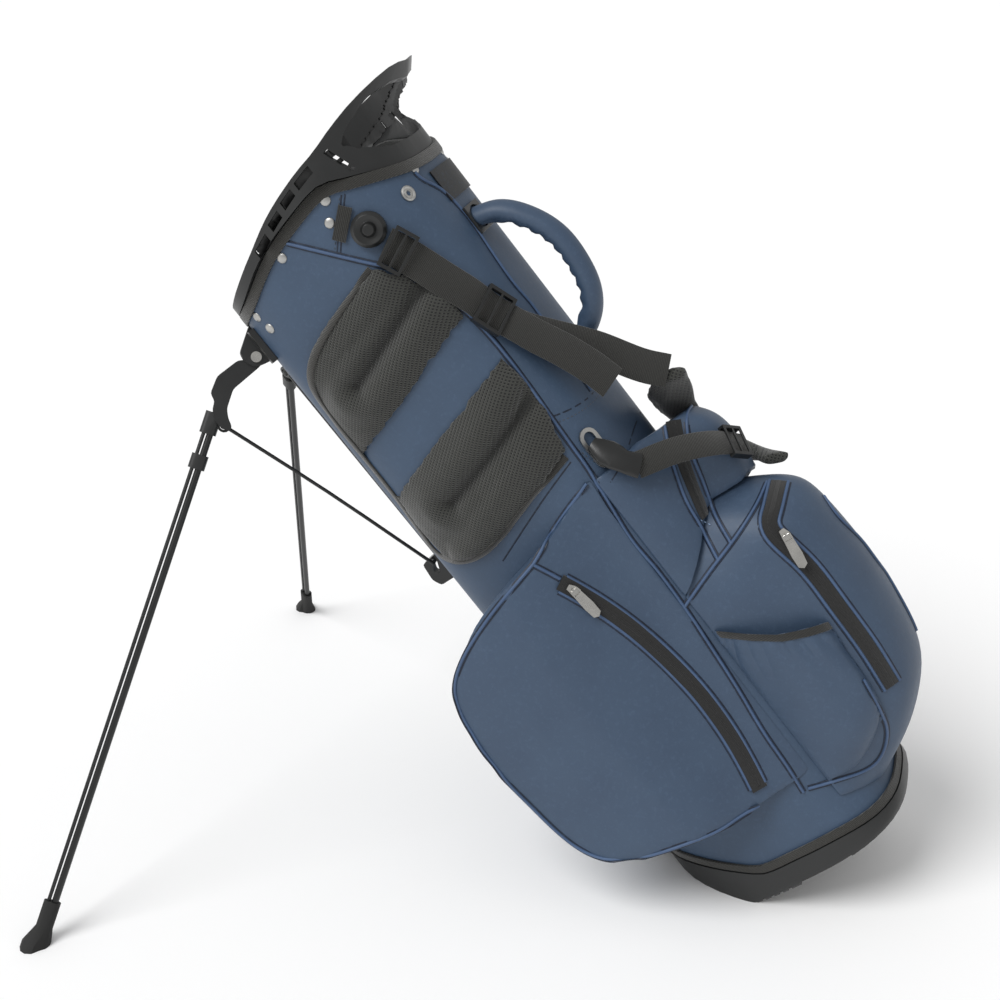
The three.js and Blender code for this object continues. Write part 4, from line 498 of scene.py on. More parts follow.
shell_leather = leather("coated leather on a stiff tube", "#37495f", "#3b4e65", 0.35)
pocket_leather = leather("coated leather panel", "#37485e", "#3b4d63", 1.0)
patch_leather = leather("coated leather patch", "#141517", "#1c1e20", 0.1)
# The piping's tones are a little lighter and bluer than the panels': a painted highlight on a cordlet that
# is the panels' own blue.
piping_leather_painted_highlight = leather("coated leather piping", "#394d6b", "#445b7c", 0)
seam_shadow = leather("seam allowance in shadow", "#0d1726", "#121f33", 0)
print("leather made")

# %% [markdown]
# ## Moulded plastic, rubber and metal
# The cuff and base are moulded in black ABS from a spark-eroded tool, which leaves a fine matt texture
# with a little gloss on the worn edges. Legs are steel tube with baked paint, feet are rubber, and the
# zip sliders are nickel-plated zinc.

# %% Plastic, rubber, metal
BRIGHT_METAL = "#c9c7c2"


def moulded(name, low, high, roughness, grain, depth):
    """A moulded surface: two near tones, grain in metres across and deep."""
    material, tree, shader = new_material(name, {"Specular IOR Level": 0.5})
    place = object_place(tree)
    patches = noise(tree, place, 0.03, detail=5)
    speckle = noise(tree, place, grain, detail=2)
    connect(tree, shader, {"Base Color": mix_colours(tree, patches, low, high),
                           "Roughness": maths(tree, "MULTIPLY_ADD", patches, 0.18, roughness - 0.09),
                           "Normal": bump(tree, speckle, depth, 0.6)})
    return material


def plated(name, tone, roughness, crinkle):
    """Plated or bare metal; crinkle is the depth of the hammered look in metres."""
    material, tree, shader = new_material(name, {"Metallic": 1})
    place = object_place(tree)
    dents = noise(tree, place, 0.0025, detail=2)
    smears = noise(tree, place, 0.012, detail=4)
    connect(tree, shader, {"Base Color": mix_colours(tree, smears, tone, BRIGHT_METAL),
                           "Roughness": maths(tree, "MULTIPLY_ADD", smears, 0.2, roughness),
                           "Normal": bump(tree, dents, crinkle, 0.7)})
    return material


abs_plastic = moulded("moulded abs plastic", "#181919", "#232424", 0.42, 0.5 * MM, 0.05 * MM)
divider_plastic = moulded("divider plastic", "#0e0f0f", "#171818", 0.55, 0.8 * MM, 0.06 * MM)
acetal = moulded("acetal buckle plastic", "#131414", "#1c1d1d", 0.3, 0.4 * MM, 0.02 * MM)
foot_rubber = moulded("moulded rubber", "#151515", "#1e1e1d", 0.75, 0.6 * MM, 0.12 * MM)
black_paint = moulded("baked black paint", "#121313", "#1b1c1c", 0.32, 0.9 * MM, 0.015 * MM)
nickel = plated("nickel plate", "#a9a8a5", 0.16, 0.25 * MM)
rivet_steel = plated("rivet steel", "#8f9192", 0.3, 0.03 * MM)
print("plastic, rubber and metal made")

# %% [markdown]
# ## Woven and knitted fabrics
# Webbing is woven nylon: ribs run across it, a little over a millimetre apart, with a raised selvedge.
# Spacer mesh is a knit with rows of slanted holes over foam. Zip tape is a fine weave, and the cuff is
# lined with brushed tricot.

# %% Fabrics
KNIT_SLANT = math.radians(38)


def woven(name, low, high, rib, depth):
    """A band with ribs across it; it reads the band's own UV map, in metres."""
    material, tree, shader = new_material(name, {"Roughness": 0.85, "Sheen Weight": 0.25})
    band = add(tree, "UVMap", {"uv_map": "Band"}).outputs[0]
    threads = maths(tree, "MULTIPLY_ADD", waves(tree, band, rib * 0.8, "Y"), 0.5, 0.5)
    weave = maths(tree, "MULTIPLY", waves(tree, band, rib), threads)
    fuzz = noise(tree, object_place(tree), 0.6 * MM, detail=3)
    lumps = bump(tree, fuzz, 0.2 * MM, 0.5)
    tone = mix_colours(tree, maths(tree, "MULTIPLY", weave, fuzz), low, high)
    connect(tree, shader, {"Base Color": tone, "Normal": bump(tree, weave, depth, 0.9, lumps)})
    return material


def knitted(name, low, high, step, depth):
    """Spacer mesh: slanted holes at even steps, laid along the bag, darkened by a painted shade attribute.
    """
    material, tree, shader = new_material(name, {"Roughness": 0.9, "Sheen Weight": 0.3})
    place = object_place(tree, (0, LEAN + KNIT_SLANT, 0))
    rows = waves(tree, place, step)
    columns = waves(tree, place, step * 1.3, "Z")
    holes = ramp(tree, maths(tree, "MULTIPLY", rows, columns), 0.22, 0.45)
    fuzz = noise(tree, place, 0.5 * MM, detail=3)
    bright = mix_colours(tree, fuzz, low, high)
    # Painted shade: the pads' point attribute mixes the mesh towards near black in the sewn channels and
    # next to the tube.
    painted_shade = add(tree, "Attribute", {"attribute_name": "painted_shade"}).outputs["Fac"]
    shaded = mix_colours(tree, painted_shade, mix_colours(tree, holes, bright, "#060706"), "#0a0b0a")
    lumps = bump(tree, fuzz, 0.25 * MM, 0.5)
    sunk = add(tree, "Bump", {"Distance": depth, "Strength": 0.8, "invert": True},
               {"Height": holes, "Normal": lumps}).outputs[0]
    connect(tree, shader, {"Base Color": shaded, "Normal": sunk})
    return material


def brushed(name, low, high, grain):
    """Cloth with no direction to its surface: brushed tricot, braid or tape."""
    material, tree, shader = new_material(name, {"Roughness": 0.92, "Sheen Weight": 0.35})
    place = object_place(tree, ALONG_BAG)
    fuzz = noise(tree, place, grain, detail=4, roughness=0.7)
    ribs = waves(tree, place, grain * 1.6, "Z")
    mixed = maths(tree, "MULTIPLY", fuzz, maths(tree, "ADD", ribs, 0.5))
    connect(tree, shader, {"Base Color": mix_colours(tree, mixed, low, high),
                           "Normal": bump(tree, mixed, grain * 0.5, 0.8)})
    return material


webbing = woven("woven nylon webbing", "#121211", "#4b4b45", 1.6 * MM, 0.5 * MM)
coil = woven("nylon zip coil", "#0a0a0a", "#2b2b2b", 1.3 * MM, 0.5 * MM)
spacer_mesh = knitted("spacer mesh", "#1f201e", "#41423d", 2.6 * MM, 0.8 * MM)
braid = brushed("braided binding", "#121212", "#35342f", 1.0 * MM)
zip_tape = brushed("zip tape", "#0f0f0f", "#20201f", 0.6 * MM)
tricot = brushed("brushed tricot", "#0e0f0e", "#1c1d1b", 0.9 * MM)
elastic = brushed("knitted elastic", "#131313", "#2e2e2b", 1.2 * MM)
thread = brushed("sewing thread", "#7f9dc4", "#9db6d6", 0.4 * MM)
dark_thread = brushed("dark sewing thread", "#23262a", "#44484e", 0.4 * MM)
print("fabrics made")

# %% [markdown]
# ## Rigid parts
# The moulded and metal parts keep their CAD meshes, which is where their sizes are right. Each gets its
# own material. A Weld and a small Bevel give the edges the radius that a mould leaves, so they catch a
# thin line of light as real edges do.

# %% Rigid parts
WELD = 0.01 * MM
BEVEL_FROM = math.radians(38)
SHARP_FROM = math.radians(36)
ROUNDED = {"top_cuff": 0.9, "base_cup": 0.9, "leg_bracket": 0.7, "base_pedal": 0.7, "strap_hub": 0.35,
           "strap_ladder": 0.35, "upper_adjuster": 0.35, "lower_adjuster": 0.35, "handle_ring": 0.3,
           "lower_buckle": 0.3, "club_dividers": 0.5, "label_patch": 0.3}
MATERIAL_OF = {"club_dividers": divider_plastic, "body_shell": shell_leather, "label_patch": patch_leather,
               "strap_hub": acetal, "strap_ladder": acetal, "upper_adjuster": acetal,
               "lower_adjuster": acetal, "lower_buckle": acetal, "handle_ring": acetal,
               "actuator_rod": black_paint, "base_pedal_pin": black_paint, "strap_grommet": rivet_steel}
MATERIAL_BY_END = (("leg_pin", nickel), ("slider", nickel), ("pull", nickel), ("foot", foot_rubber),
                   ("leg_tube", black_paint), ("leg_rod", black_paint), ("wire", black_paint),
                   ("stay", black_paint))
for name, node in nodes.items():
    by_end = [material for end, material in MATERIAL_BY_END if name.endswith(end)]
    material = MATERIAL_OF.get(name) or (by_end[0] if by_end else abs_plastic)
    node.data.materials.clear()
    node.data.materials.append(material)
    select_only(node)
    bpy.ops.mesh.customdata_custom_splitnormals_clear()
    node.data.polygons.foreach_set("use_smooth", [True] * len(node.data.polygons))
    node.modifiers.new("Weld", "WELD").merge_threshold = WELD
    if name in ROUNDED:
        rounding = node.modifiers.new("Bevel", "BEVEL")
        rounding.width = ROUNDED[name] * MM
        rounding.segments = 2
        rounding.limit_method = "ANGLE"
        rounding.angle_limit = BEVEL_FROM
        node.modifiers.new("Normals", "WEIGHTED_NORMAL").keep_sharp = True
    else:
        node.modifiers.new("Split", "EDGE_SPLIT").split_angle = SHARP_FROM
print("rigid parts dressed")

# %% [markdown]
# ## Painted shade inside the cuff
# The cuff's windows and the far half of its grip are closed from inside by a thin black sheet: painted shade
# for the dark inside of the bag seen through them. Rays from the tube's axis measure the cuff's inner face,
# and the sheet follows it across each opening, and behind the grip only where the photograph shows no white.
# It is mesh code, because its outline is that of the openings.

# %% Painted shade inside the cuff
SHADE_SHEET_TURNS = np.radians(np.arange(-150, 151, 2))
SHADE_SHEET_HEIGHTS = np.arange(806, 900, 2)
SHADE_SHEET_BACK = 1.2
SHADE_SHEET_THICK = 1 * MM
GRIP_HALF = math.radians(38)
FAR_SLOT = (math.radians(39), math.radians(50), 842, 862)
SHIELD = (math.radians(30), math.radians(86))
RIM_LINE = [(411.6, 56.6), (388, 72), (372, 85), (350, 108), (330, 133), (310, 160), (290, 190)]
ARM_HALF = 9
GRIP_EDGE = [(419, 50), (413, 66), (405, 82), (397, 98), (394, 110), (400, 122), (404, 135)]


def inner_face(tree, turn):
    """The cuff's inner radius in mm at each height for one direction, nan in an opening."""
    ray = bag_facing((math.cos(turn), math.sin(turn), 0))
    hits = [tree.ray_cast(bag(0, 0, height), ray) for height in SHADE_SHEET_HEIGHTS]
    return [hit[3] / MM if hit[0] else math.nan for hit in hits]


def left_of(line, place, margin=0):
    """True where a place shows left of a line of the photograph that runs down it."""
    across, down = on_photo(place)
    rows = np.array(line)
    return across < np.interp(down, rows[:, 1], rows[:, 0]) + margin


def cuff_shade_sheet_outline():
    """The painted shade sheet's corner points and faces: over each opening, and as a shield above the far
    rim.
    """
    tree = skin(nodes["top_cuff"])[0]
    faces, points = [], np.zeros((len(SHADE_SHEET_TURNS), len(SHADE_SHEET_HEIGHTS), 3))
    closed = np.zeros(points.shape[:2], bool)
    for i, turn in enumerate(SHADE_SHEET_TURNS):
        radii = np.array(inner_face(tree, turn))
        found = np.nonzero(~np.isnan(radii))[0]
        if len(found) < 2:
            continue
        bridged = np.interp(np.arange(len(radii)), found, radii[found]) - SHADE_SHEET_BACK
        for k, (height, reach) in enumerate(zip(SHADE_SHEET_HEIGHTS, bridged)):
            points[i, k] = bag(reach * math.cos(turn), reach * math.sin(turn), height)
            opening = math.isnan(radii[k]) and found[0] < k < found[-1]
            grip = abs(turn) < GRIP_HALF
            slot = FAR_SLOT[0] < turn < FAR_SLOT[1] and FAR_SLOT[2] < height < FAR_SLOT[3]
            spot = Vector(points[i, k])
            closed[i, k] = opening and not slot and (not grip or turn > 0 and left_of(GRIP_EDGE, spot))
            if SHIELD[0] < turn < SHIELD[1] and k > found[-1]:
                closed[i, k] = left_of(GRIP_EDGE, spot) and not left_of(RIM_LINE, spot, ARM_HALF)
    count = len(SHADE_SHEET_HEIGHTS)
    whole = np.any(points != 0, axis=2)
    for i in range(len(SHADE_SHEET_TURNS) - 1):
        for k in range(count - 1):
            corners = [(i, k), (i + 1, k), (i + 1, k + 1), (i, k + 1)]
            if any(closed[c] for c in corners) and all(whole[c] for c in corners):
                faces.append([c[0] * count + c[1] for c in corners])
    return points.reshape(-1, 3), faces


shade_sheet_points, shade_sheet_faces = cuff_shade_sheet_outline()
shade_sheet_mesh = bpy.data.meshes.new("CuffInnerWall")
shade_sheet_mesh.from_pydata(shade_sheet_points.tolist(), [], shade_sheet_faces)
# The sheet is painted shade: black plastic closing the openings where the inside of the bag lies in shade.
cuff_shade_sheet = new_object("CuffInnerWall", shade_sheet_mesh)
edit((bpy.ops.mesh.delete_loose, {}))
apply_modifier(cuff_shade_sheet, "SOLIDIFY", thickness=SHADE_SHEET_THICK, offset=1)
bpy.ops.object.shade_smooth_by_angle(angle=PANEL_CORNER)
dress(cuff_shade_sheet, divider_plastic)
print(len(shade_sheet_faces), "faces in the cuff's inner wall")

# %% [markdown]
# ## Pockets
# Each pocket is a leather panel over thin foam, sewn to the tube all round. The CAD solid has its place
# and reach, and serves here as the cage of a subdivision surface, which gives the panel its round edge.

# %% Pockets and handle
POCKETS = {"near_apparel_pocket": "NearApparelPocket", "far_apparel_pocket": "FarApparelPocket",
           "ball_pocket": "BallPocket", "bottle_pocket": "BottlePocket",
           "valuables_pocket": "ValuablesPocket"}
soft = {}
for node, name in POCKETS.items():
    soft[node] = dress(soft_copy(node, name, 2), pocket_leather, replaces=[node])
soft["carry_handle"] = dress(soft_copy("carry_handle", "CarryHandle", 1), pocket_leather,
                             replaces=["carry_handle"])
print(len(soft), "leather pieces")

# %% [markdown]
# ## Gathers
# The elastic pulls the bottle pocket's mouth in, so the panel below it falls in soft folds that fan out
# and fade. The handle is leather sewn round a foam core and bent, so its inner side is pushed into small
# wrinkles. Both are moves of the points of the panel itself.

# %% Gathers
FOLD_DEPTH = 2.6
FOLD_WIDTH = 19
FOLD_FADE = 30
FOLD_SPREAD = 110
FOLD_START = 5
FOLD_DRIFT = 9
WRINKLE_DEPTH = 1.3
WRINKLE_WIDTH = 13
HANDLE_CENTRE = bag(110, 0, 655)
into_bag = BAG.inverted()
elastic_skin = skin(nodes["bottle_elastic"])[0]
fold_middle = sum((into_bag @ vertex.co).x for vertex in nodes["bottle_elastic"].data.vertices)
fold_middle /= len(nodes["bottle_elastic"].data.vertices)
for vertex in soft["bottle_pocket"].data.vertices:
    below = elastic_skin.find_nearest(vertex.co)[3] / MM
    across = ((into_bag @ vertex.co).x - fold_middle) / MM / (1 + below / FOLD_SPREAD)
    fold = math.cos(2 * math.pi * across / FOLD_WIDTH + math.sin(across / FOLD_DRIFT))
    fade = math.exp(-below / FOLD_FADE) * min(1, below / FOLD_START)
    vertex.co = vertex.co + vertex.normal * fold * fade * FOLD_DEPTH * MM
for vertex in soft["carry_handle"].data.vertices:
    inward = vertex.normal.dot((HANDLE_CENTRE - vertex.co).normalized())
    if inward > 0:
        height = (into_bag @ vertex.co).z / MM
        fold = math.cos(2 * math.pi * height / WRINKLE_WIDTH)
        vertex.co = vertex.co + vertex.normal * fold * inward * WRINKLE_DEPTH * MM
print("gathers made")

# %% [markdown]
# ## Pads
# The two pads that rest on the player's hip, and the one on the shoulder, are foam in spacer mesh with a
# bound edge. A cloth simulation with air pressure inside lets the cover swell where it is free, and the
# side that lies on the tube is held.

# %% Pads
def inflate(piece, against, cap, voxel=4 * MM, pressure=4, steps=20):
    """Swells a closed piece by a cloth simulation, no point further than cap, and held near a surface."""
    apply_modifier(piece, "REMESH", mode="VOXEL", voxel_size=voxel)
    before = np.array([vertex.co for vertex in piece.data.vertices])
    near = [min(tree.find_nearest(Vector(point))[3] for tree in against) < voxel for point in before]
    held = piece.vertex_groups.new(name="held")
    held.add([int(index) for index in np.nonzero(near)[0]], 1, "ADD")
    cloth = piece.modifiers.new("Cloth", "CLOTH")
    cloth.settings.use_pressure = True
    cloth.settings.uniform_pressure_force = pressure
    cloth.settings.effector_weights.gravity = 0
    cloth.settings.vertex_group_mass = "held"
    cloth.point_cache.frame_start = 1
    cloth.point_cache.frame_end = steps
    for number in range(1, steps + 1):
        scene.frame_set(number)
    swollen = piece.evaluated_get(bpy.context.evaluated_depsgraph_get()).to_mesh()
    after = np.array([vertex.co for vertex in swollen.vertices])
    move = after - before
    reach = np.linalg.norm(move, axis=1, keepdims=True)
    move *= np.minimum(1, cap / np.maximum(reach, 1e-9))
    piece.modifiers.remove(cloth)
    scene.frame_set(1)
    piece.data.vertices.foreach_set("co", (before + move).ravel())
    piece.vertex_groups.clear()
    apply_modifier(piece, "SUBSURF", levels=1)
    select_only(piece)
    bpy.ops.object.shade_smooth()


shell_skin = skin(nodes["body_shell"])
PADS = {"upper_hip_pad": ("UpperHipPad", 3), "lower_hip_pad": ("LowerHipPad", 3),
        "shoulder_pad": ("ShoulderPad", 2)}
PAD_COURSE = [(189.1, -8.2, 503.1, 0, .63, .77, .6), (166, 26, 481, .1, .7, .6, .9),
              (146, 66, 458, .3, .85, .3, 1), (142, 90, 430, .5, .85, .1, 1),
              (150, 92, 400, .65, .75, 0, 1), (168, 84, 378, .75, .6, .2, .9),
              (192, 60, 364, .6, .5, .6, .66), (210, 32, 360, .35, .2, .9, .5)]
PAD_WIDTH = 54 * MM
PAD_THICK = 12 * MM
PAD_STEP = 7 * MM
PAD_SIDES = 16
PAD_ROUNDNESS = 0.7


def course(rows, spacing):
    """A smooth line through rows of (place along the bag in mm, facing, anything more)."""
    placed = [[*bag(*row[:3]), *bag_facing(row[3:6]), *row[6:]] for row in rows]
    return smooth_line(placed, spacing)


def shoulder_pad(name):
    """The pad as one sweep: a crowned section that narrows to both of its ends."""
    rows = course(PAD_COURSE, PAD_STEP)
    turn = np.linspace(0, 2 * math.pi, PAD_SIDES, endpoint=False)
    crown = np.column_stack([np.sign(side) * np.abs(side) ** PAD_ROUNDNESS * size / 2
                             for side, size in ((np.cos(turn), PAD_WIDTH), (np.sin(turn), PAD_THICK))])
    width = np.ones((len(rows), 1, 2))
    width[:, 0, 0] = rows[:, 6]
    return mesh_piece(name, [sweep(rows[:, :3], units(rows[:, 3:6]), crown * width)])


for node, (name, cap) in PADS.items():
    pad = shoulder_pad(name) if node == "shoulder_pad" else soft_copy(node, name, 1)
    inflate(pad, shell_skin, cap * MM)
    soft[node] = dress(pad, spacer_mesh, replaces=[node])
print("pads made")

# %% [markdown]
# ## Sewn channels and the pads' binding
# Each hip pad is quilted once, so the mesh sinks into a channel between two lobes. Painted shade darkens the
# mesh in the channel and where the pad meets the tube. A braid is sewn over the pads' free edges, from the
# cuff round the corner and down along the tube.

# %% Channels and binding of the pads
CHANNELS = {"upper_hip_pad": [(421, 287), (412, 303), (397, 326), (376, 357), (355, 389)],
            "lower_hip_pad": [(530, 400), (518, 418), (498, 446), (474, 477), (450, 506)]}
CHANNEL_DEPTH = 9 * MM
CHANNEL_WIDTH = 12 * MM
LOBE_RISE = 3 * MM
PAINTED_SHADE_STRENGTH = 0.75
PAINTED_SHADE_HEIGHT = 4 * MM
HELD_UNDER = 2 * MM
LEAST_FOAM = 1.5 * MM
BRAID_WIDTH = 8.5 * MM
BRAID_THICK = 1.6 * MM
BRAID_LIFT = 0.6 * MM
SMOOTH_BRAID = 8
PAD_BINDING = [(371.4, 269.4), (354, 293), (336.7, 317.3), (318.4, 348), (310.2, 372.4), (315.3, 392.9),
               (336.7, 423.5), (363.3, 456.1), (395.9, 496.9), (422.4, 533.7), (438.8, 554.1),
               (459.2, 562.2), (479.6, 556.1), (500, 537.8), (528.6, 501), (565.3, 456.1)]


def quilt(piece, route, ground):
    """Sinks a pad along a sewn channel and swells it beside it, never through the tube, and stores painted
    shade for the channel and the tube's edge.
    """
    line = route[0]
    painted_shade = piece.data.attributes.new("painted_shade", "FLOAT", "POINT").data
    for vertex in piece.data.vertices:
        place = np.array(vertex.co)
        gap = np.linalg.norm(line - place, axis=1).min() / CHANNEL_WIDTH
        base, _, _, height = ground.find_nearest(vertex.co)
        # Painted shade: darkest in the channel and where the pad lies thin against the tube.
        painted_shade[vertex.index].value = PAINTED_SHADE_STRENGTH * max(math.exp(-gap * gap * 4), 1 - height / PAINTED_SHADE_HEIGHT)
        if height < HELD_UNDER:
            continue
        change = LOBE_RISE * math.exp(-(gap - 2) ** 2) - CHANNEL_DEPTH * math.exp(-gap * gap * 2)
        new_height = max(LEAST_FOAM, height + change)
        vertex.co = vertex.co + (vertex.co - base).normalized() * (new_height - height)


for node, pixels in CHANNELS.items():
    quilt(soft[node], trace(pixels, skin(soft[node])), shell_skin[0])
    soft[node].data.update()
pad_skins = skin(nodes["body_shell"], soft["upper_hip_pad"], soft["lower_hip_pad"])
pad_edge = trace(PAD_BINDING, pad_skins, passes=SMOOTH_BRAID)
lay("PadBinding", pad_edge, BRAID_LIFT, flat_section(BRAID_WIDTH, BRAID_THICK), braid)
print("pads quilted and bound")

# %% [markdown]
# ## Bindings, zips, elastic and lining
# Braid binds the cuff and the base to the tube, elastic gathers the bottle pocket's mouth, and the zips'
# tapes lie sewn on the pockets.

# %% Bindings and tapes
TRIMS = {"base_binding": ("BaseBinding", braid, "black_webbing", 1),
         "top_binding": ("TopBinding", braid, "black_webbing", 1),
         "bottle_elastic": ("BottleElastic", elastic, "black_webbing", 1),
         "cuff_liner": ("CuffLiner", tricot, "black_mesh", 1),
         "near_apparel_zip": ("NearApparelZipTape", zip_tape, "black_webbing", 0),
         "far_apparel_zip": ("FarApparelZipTape", zip_tape, "black_webbing", 0)}
for node, (name, material, slot, levels) in TRIMS.items():
    soft[node] = dress(soft_copy(node, name, levels), material, replaces=[node])
print("trims made")

# %% [markdown]
# ## Straps
# The shoulder strap is one length of nylon webbing, from the hub over the adjuster down to the buckle.
# It is woven flat and only bends across its faces, so it is swept with its facing given at each place.

# %% Straps
WEB_STEP = 5 * MM
WEB_THICK = 2.2 * MM


def band(rows, width):
    """A sweep of flat webbing, width in mm, through places along the bag with its facing at each."""
    rows = course(rows, WEB_STEP)
    return sweep(rows[:, :3], units(rows[:, 3:]), flat_section(width * MM, WEB_THICK))


UPPER = [(76.6, -96.6, 767, .35, -.94, 0), (82.2, -95, 755, .4, -.92, 0), (89.6, -91.5, 734, .48, -.88, 0),
         (97.6, -86.6, 708, .58, -.815, 0), (105.3, -79.9, 682, .68, -.735, 0),
         (110.6, -73, 657, .76, -.65, 0), (121, -62.5, 625, .72, -.68, .05), (143, -40, 585, .62, -.77, .05),
         (155, -28, 563, .58, -.8, .05), (174, -18, 527, .54, -.82, .1), (190, -10, 505, .5, -.84, .12)]
TAIL = [UPPER[5], (116.5, -71, 641, .74, -.67, 0), (128, -68, 613, .7, -.71, 0),
        (140, -66, 588, .66, -.75, 0), (150, -62, 560, .64, -.77, 0), (156, -58, 534, .62, -.78, .05)]
STUB = [(51.8, -100.3, 811, .17, -.98, 0), (55.75, -99.1, 806, .195, -.975, 0),
        (59.7, -97.9, 801, .22, -.97, 0)]
LOWER = [(133.5, -80.6, 459, .6, -.8, .1), (164.8, -55, 445, .72, -.65, .2), (190, -27, 424, .85, -.45, .25),
         (203.2, 8, 396.3, .96, -.1, .22)]
STRAPS = {"UpperWebbing": ([UPPER, TAIL], 33, "upper_webbing"),
          "LowerWebbing": ([LOWER], 26, "lower_webbing"),
          "StrapStub": ([STUB], 33, "strap_stub")}
for name, (lengths, width, node) in STRAPS.items():
    strap = mesh_piece(name, [band(rows, width) for rows in lengths])
    soft[node] = dress(strap, webbing, replaces=[node])
print("straps made")

# %% [markdown]
# ## Zip coils
# A coil zip's teeth are one nylon monofilament wound over a cord and sewn to the tape. From outside it is
# a ribbed line a few millimetres wide in the middle of the tape. The side pockets' coils follow the arc
# that their sliders run on. The tapes of the other two zips follow lines of the photograph.

# %% Zip coils and tapes
COIL_WIDTH = 4.6 * MM
COIL_HEIGHT = 0.6 * MM
COIL_STEPS = 80
OUTSIDE = 300


def drop(forward, height, side, skins):
    """The place and facing where a line across the bag meets a side; side is -1 for the near one."""
    start = bag(forward, side * OUTSIDE, height)
    place, normal = first_hit(start, Vector((0, -side, 0)), skins)[:2]
    return place, normal if normal.y * side > 0 else -normal


def arc_through(first, middle, last, count):
    """Points on the circle through three points of a plane."""
    a, b, c = (complex(*point) for point in (first, middle, last))
    ratio = (c - a) / (b - a)
    centre = a - (a - b) * (ratio - abs(ratio) ** 2) / 2j / ratio.imag
    turns = np.linspace(np.angle(a - centre), np.angle(c - centre), count)
    return [(spot.real, spot.imag) for spot in centre + abs(a - centre) * np.exp(1j * turns)]


APPAREL_ZIP = ((17, 414), (45, 300), (40, 121))
coil_section = flat_section(COIL_WIDTH, COIL_HEIGHT, 0.45)
zip_middles = {}
for side, word in ((-1, "near"), (1, "far")):
    tape = skin(soft[word + "_apparel_zip"])
    landed = [drop(b, h, side, tape) for b, h in arc_through(*APPAREL_ZIP, COIL_STEPS)[1:-1]]
    zip_middles[word] = settle(np.array([p for p, _ in landed]), np.array([n for _, n in landed]))
    lay(word.title() + "ApparelZipCoil", zip_middles[word], 0, coil_section, coil)

VALUABLES_ZIP = [(671.5, 409), (674.5, 428), (679, 447), (684, 464), (690.5, 482), (698, 500), (705, 517)]
BALL_ZIP = ((-17, 330), (-17.3, 280), (-17.5, 228), (-17.3, 178), (-17, 131))
BALL_ZIP_TOP = [(779, 481), (773, 507)]
TAPE_WIDTH = 15 * MM
TAPE_THICK = 1 * MM
TAPE_LIFT = 0.4 * MM
COIL_LIFT = 1 * MM


def around(angle, height, skins):
    """Where a line towards the tube's axis, at an angle round it, meets a surface."""
    outward = Vector((math.cos(math.radians(angle)), math.sin(math.radians(angle)), 0))
    start = bag(outward.x * OUTSIDE, outward.y * OUTSIDE, height)
    return first_hit(start, -bag_facing(outward), skins)[0]


ball_skin = skin(soft["ball_pocket"])
ball_line = BALL_ZIP_TOP + [on_photo(around(angle, height, ball_skin)) for angle, height in BALL_ZIP]
upper_skins = skin(soft["valuables_pocket"], soft["ball_pocket"])
zip_routes = {"ball_zip": ("BallZip", trace(ball_line, ball_skin)),
              "valuables_zip": ("ValuablesZip", trace(VALUABLES_ZIP, upper_skins))}
for node, (name, route) in zip_routes.items():
    tape_section = flat_section(TAPE_WIDTH, TAPE_THICK)
    soft[node] = lay(name + "Tape", route, TAPE_LIFT, tape_section, zip_tape, replaces=[node])
    lay(name + "Coil", route, COIL_LIFT, coil_section, coil)
print("zip coils made")

# %% [markdown]
# ## Piping
# Every panel's edge is a seam with a cordlet in it: a thin cord wrapped in leather. It stands proud and
# catches the light between two dark lines where the panels fold into the seam. Its leather is a little
# lighter than the panels', a painted highlight, and each dark line is the edge of a flat dark strip under
# it: painted shade in the fold. Each run is a line of the photograph, laid on the surface that the camera
# sees there, or a line beside a zip.

# %% Piping
PIPING_RADIUS = 1.6 * MM
SHADED_GROOVE_WIDTH = 6.6 * MM
SHADE_STRIP_THICK = 0.8 * MM
SHADE_STRIP_LIFT = 0.1 * MM
CORD_LIFT = 0.8 * MM
APPAREL_LIP = 8.4 * MM
SMOOTH_EDGE = 30
near_skins = skin(nodes["body_shell"], *(soft[node] for node in POCKETS))
PIPED = {
    "MainSeam": [(287.2, 243.2), (331, 253.9), (366, 262.2), (391, 267.8), (407.4, 274.7), (422.5, 282.6),
        (450.2, 299.3), (470.5, 315.9), (490.9, 337.2), (507.5, 357.5), (529.7, 387.1), (551.9, 418.5),
        (570.4, 444.4), (588.9, 470), (610, 505), (631.5, 540), (658.1, 571.5), (684.8, 607.9),
        (709, 644.2), (735.7, 685.4), (763.3, 731.6), (786.6, 765.4), (803.5, 792)],
    "SpineSeam": [(414.5, 172.7), (422.5, 180), (440.6, 189.3), (459.4, 207.7), (474.2, 226.2),
        (496.4, 259.5), (514.9, 285.4), (535.2, 309.4), (574, 366.8), (590.7, 390.8)],
    "ApparelTop": [(587, 483.8), (560, 520), (533.3, 564.2)],
    "ApparelCorner": [(533.7, 565.1), (547, 572), (560, 579)],
    "ValuablesEdge": [(767.1, 482), (758, 502.4), (745.7, 522.9), (731.4, 543.3), (711, 569.8),
        (684.5, 606.5)],
    "ValuablesZipLeft": [(664, 420.7), (668.3, 447.3), (676.3, 475.9), (686.5, 502.4), (700.8, 526.9),
        (718.8, 561)],
    "ValuablesZipRight": [(693.7, 404.5), (686.5, 416.7), (690.6, 449.4), (702.9, 482), (715.1, 514.7),
        (731.4, 543.3)],
    "BallSpine": [(823.3, 496.3), (837.6, 516.7), (860, 539.2), (878.4, 563.7), (902.9, 596.3),
        (921.2, 629)],
    "BallFoot": [(863, 680), (882, 714.4), (887.2, 731.6), (882, 754), (866.5, 769.5), (832, 781.5),
        (808, 788.4)]}
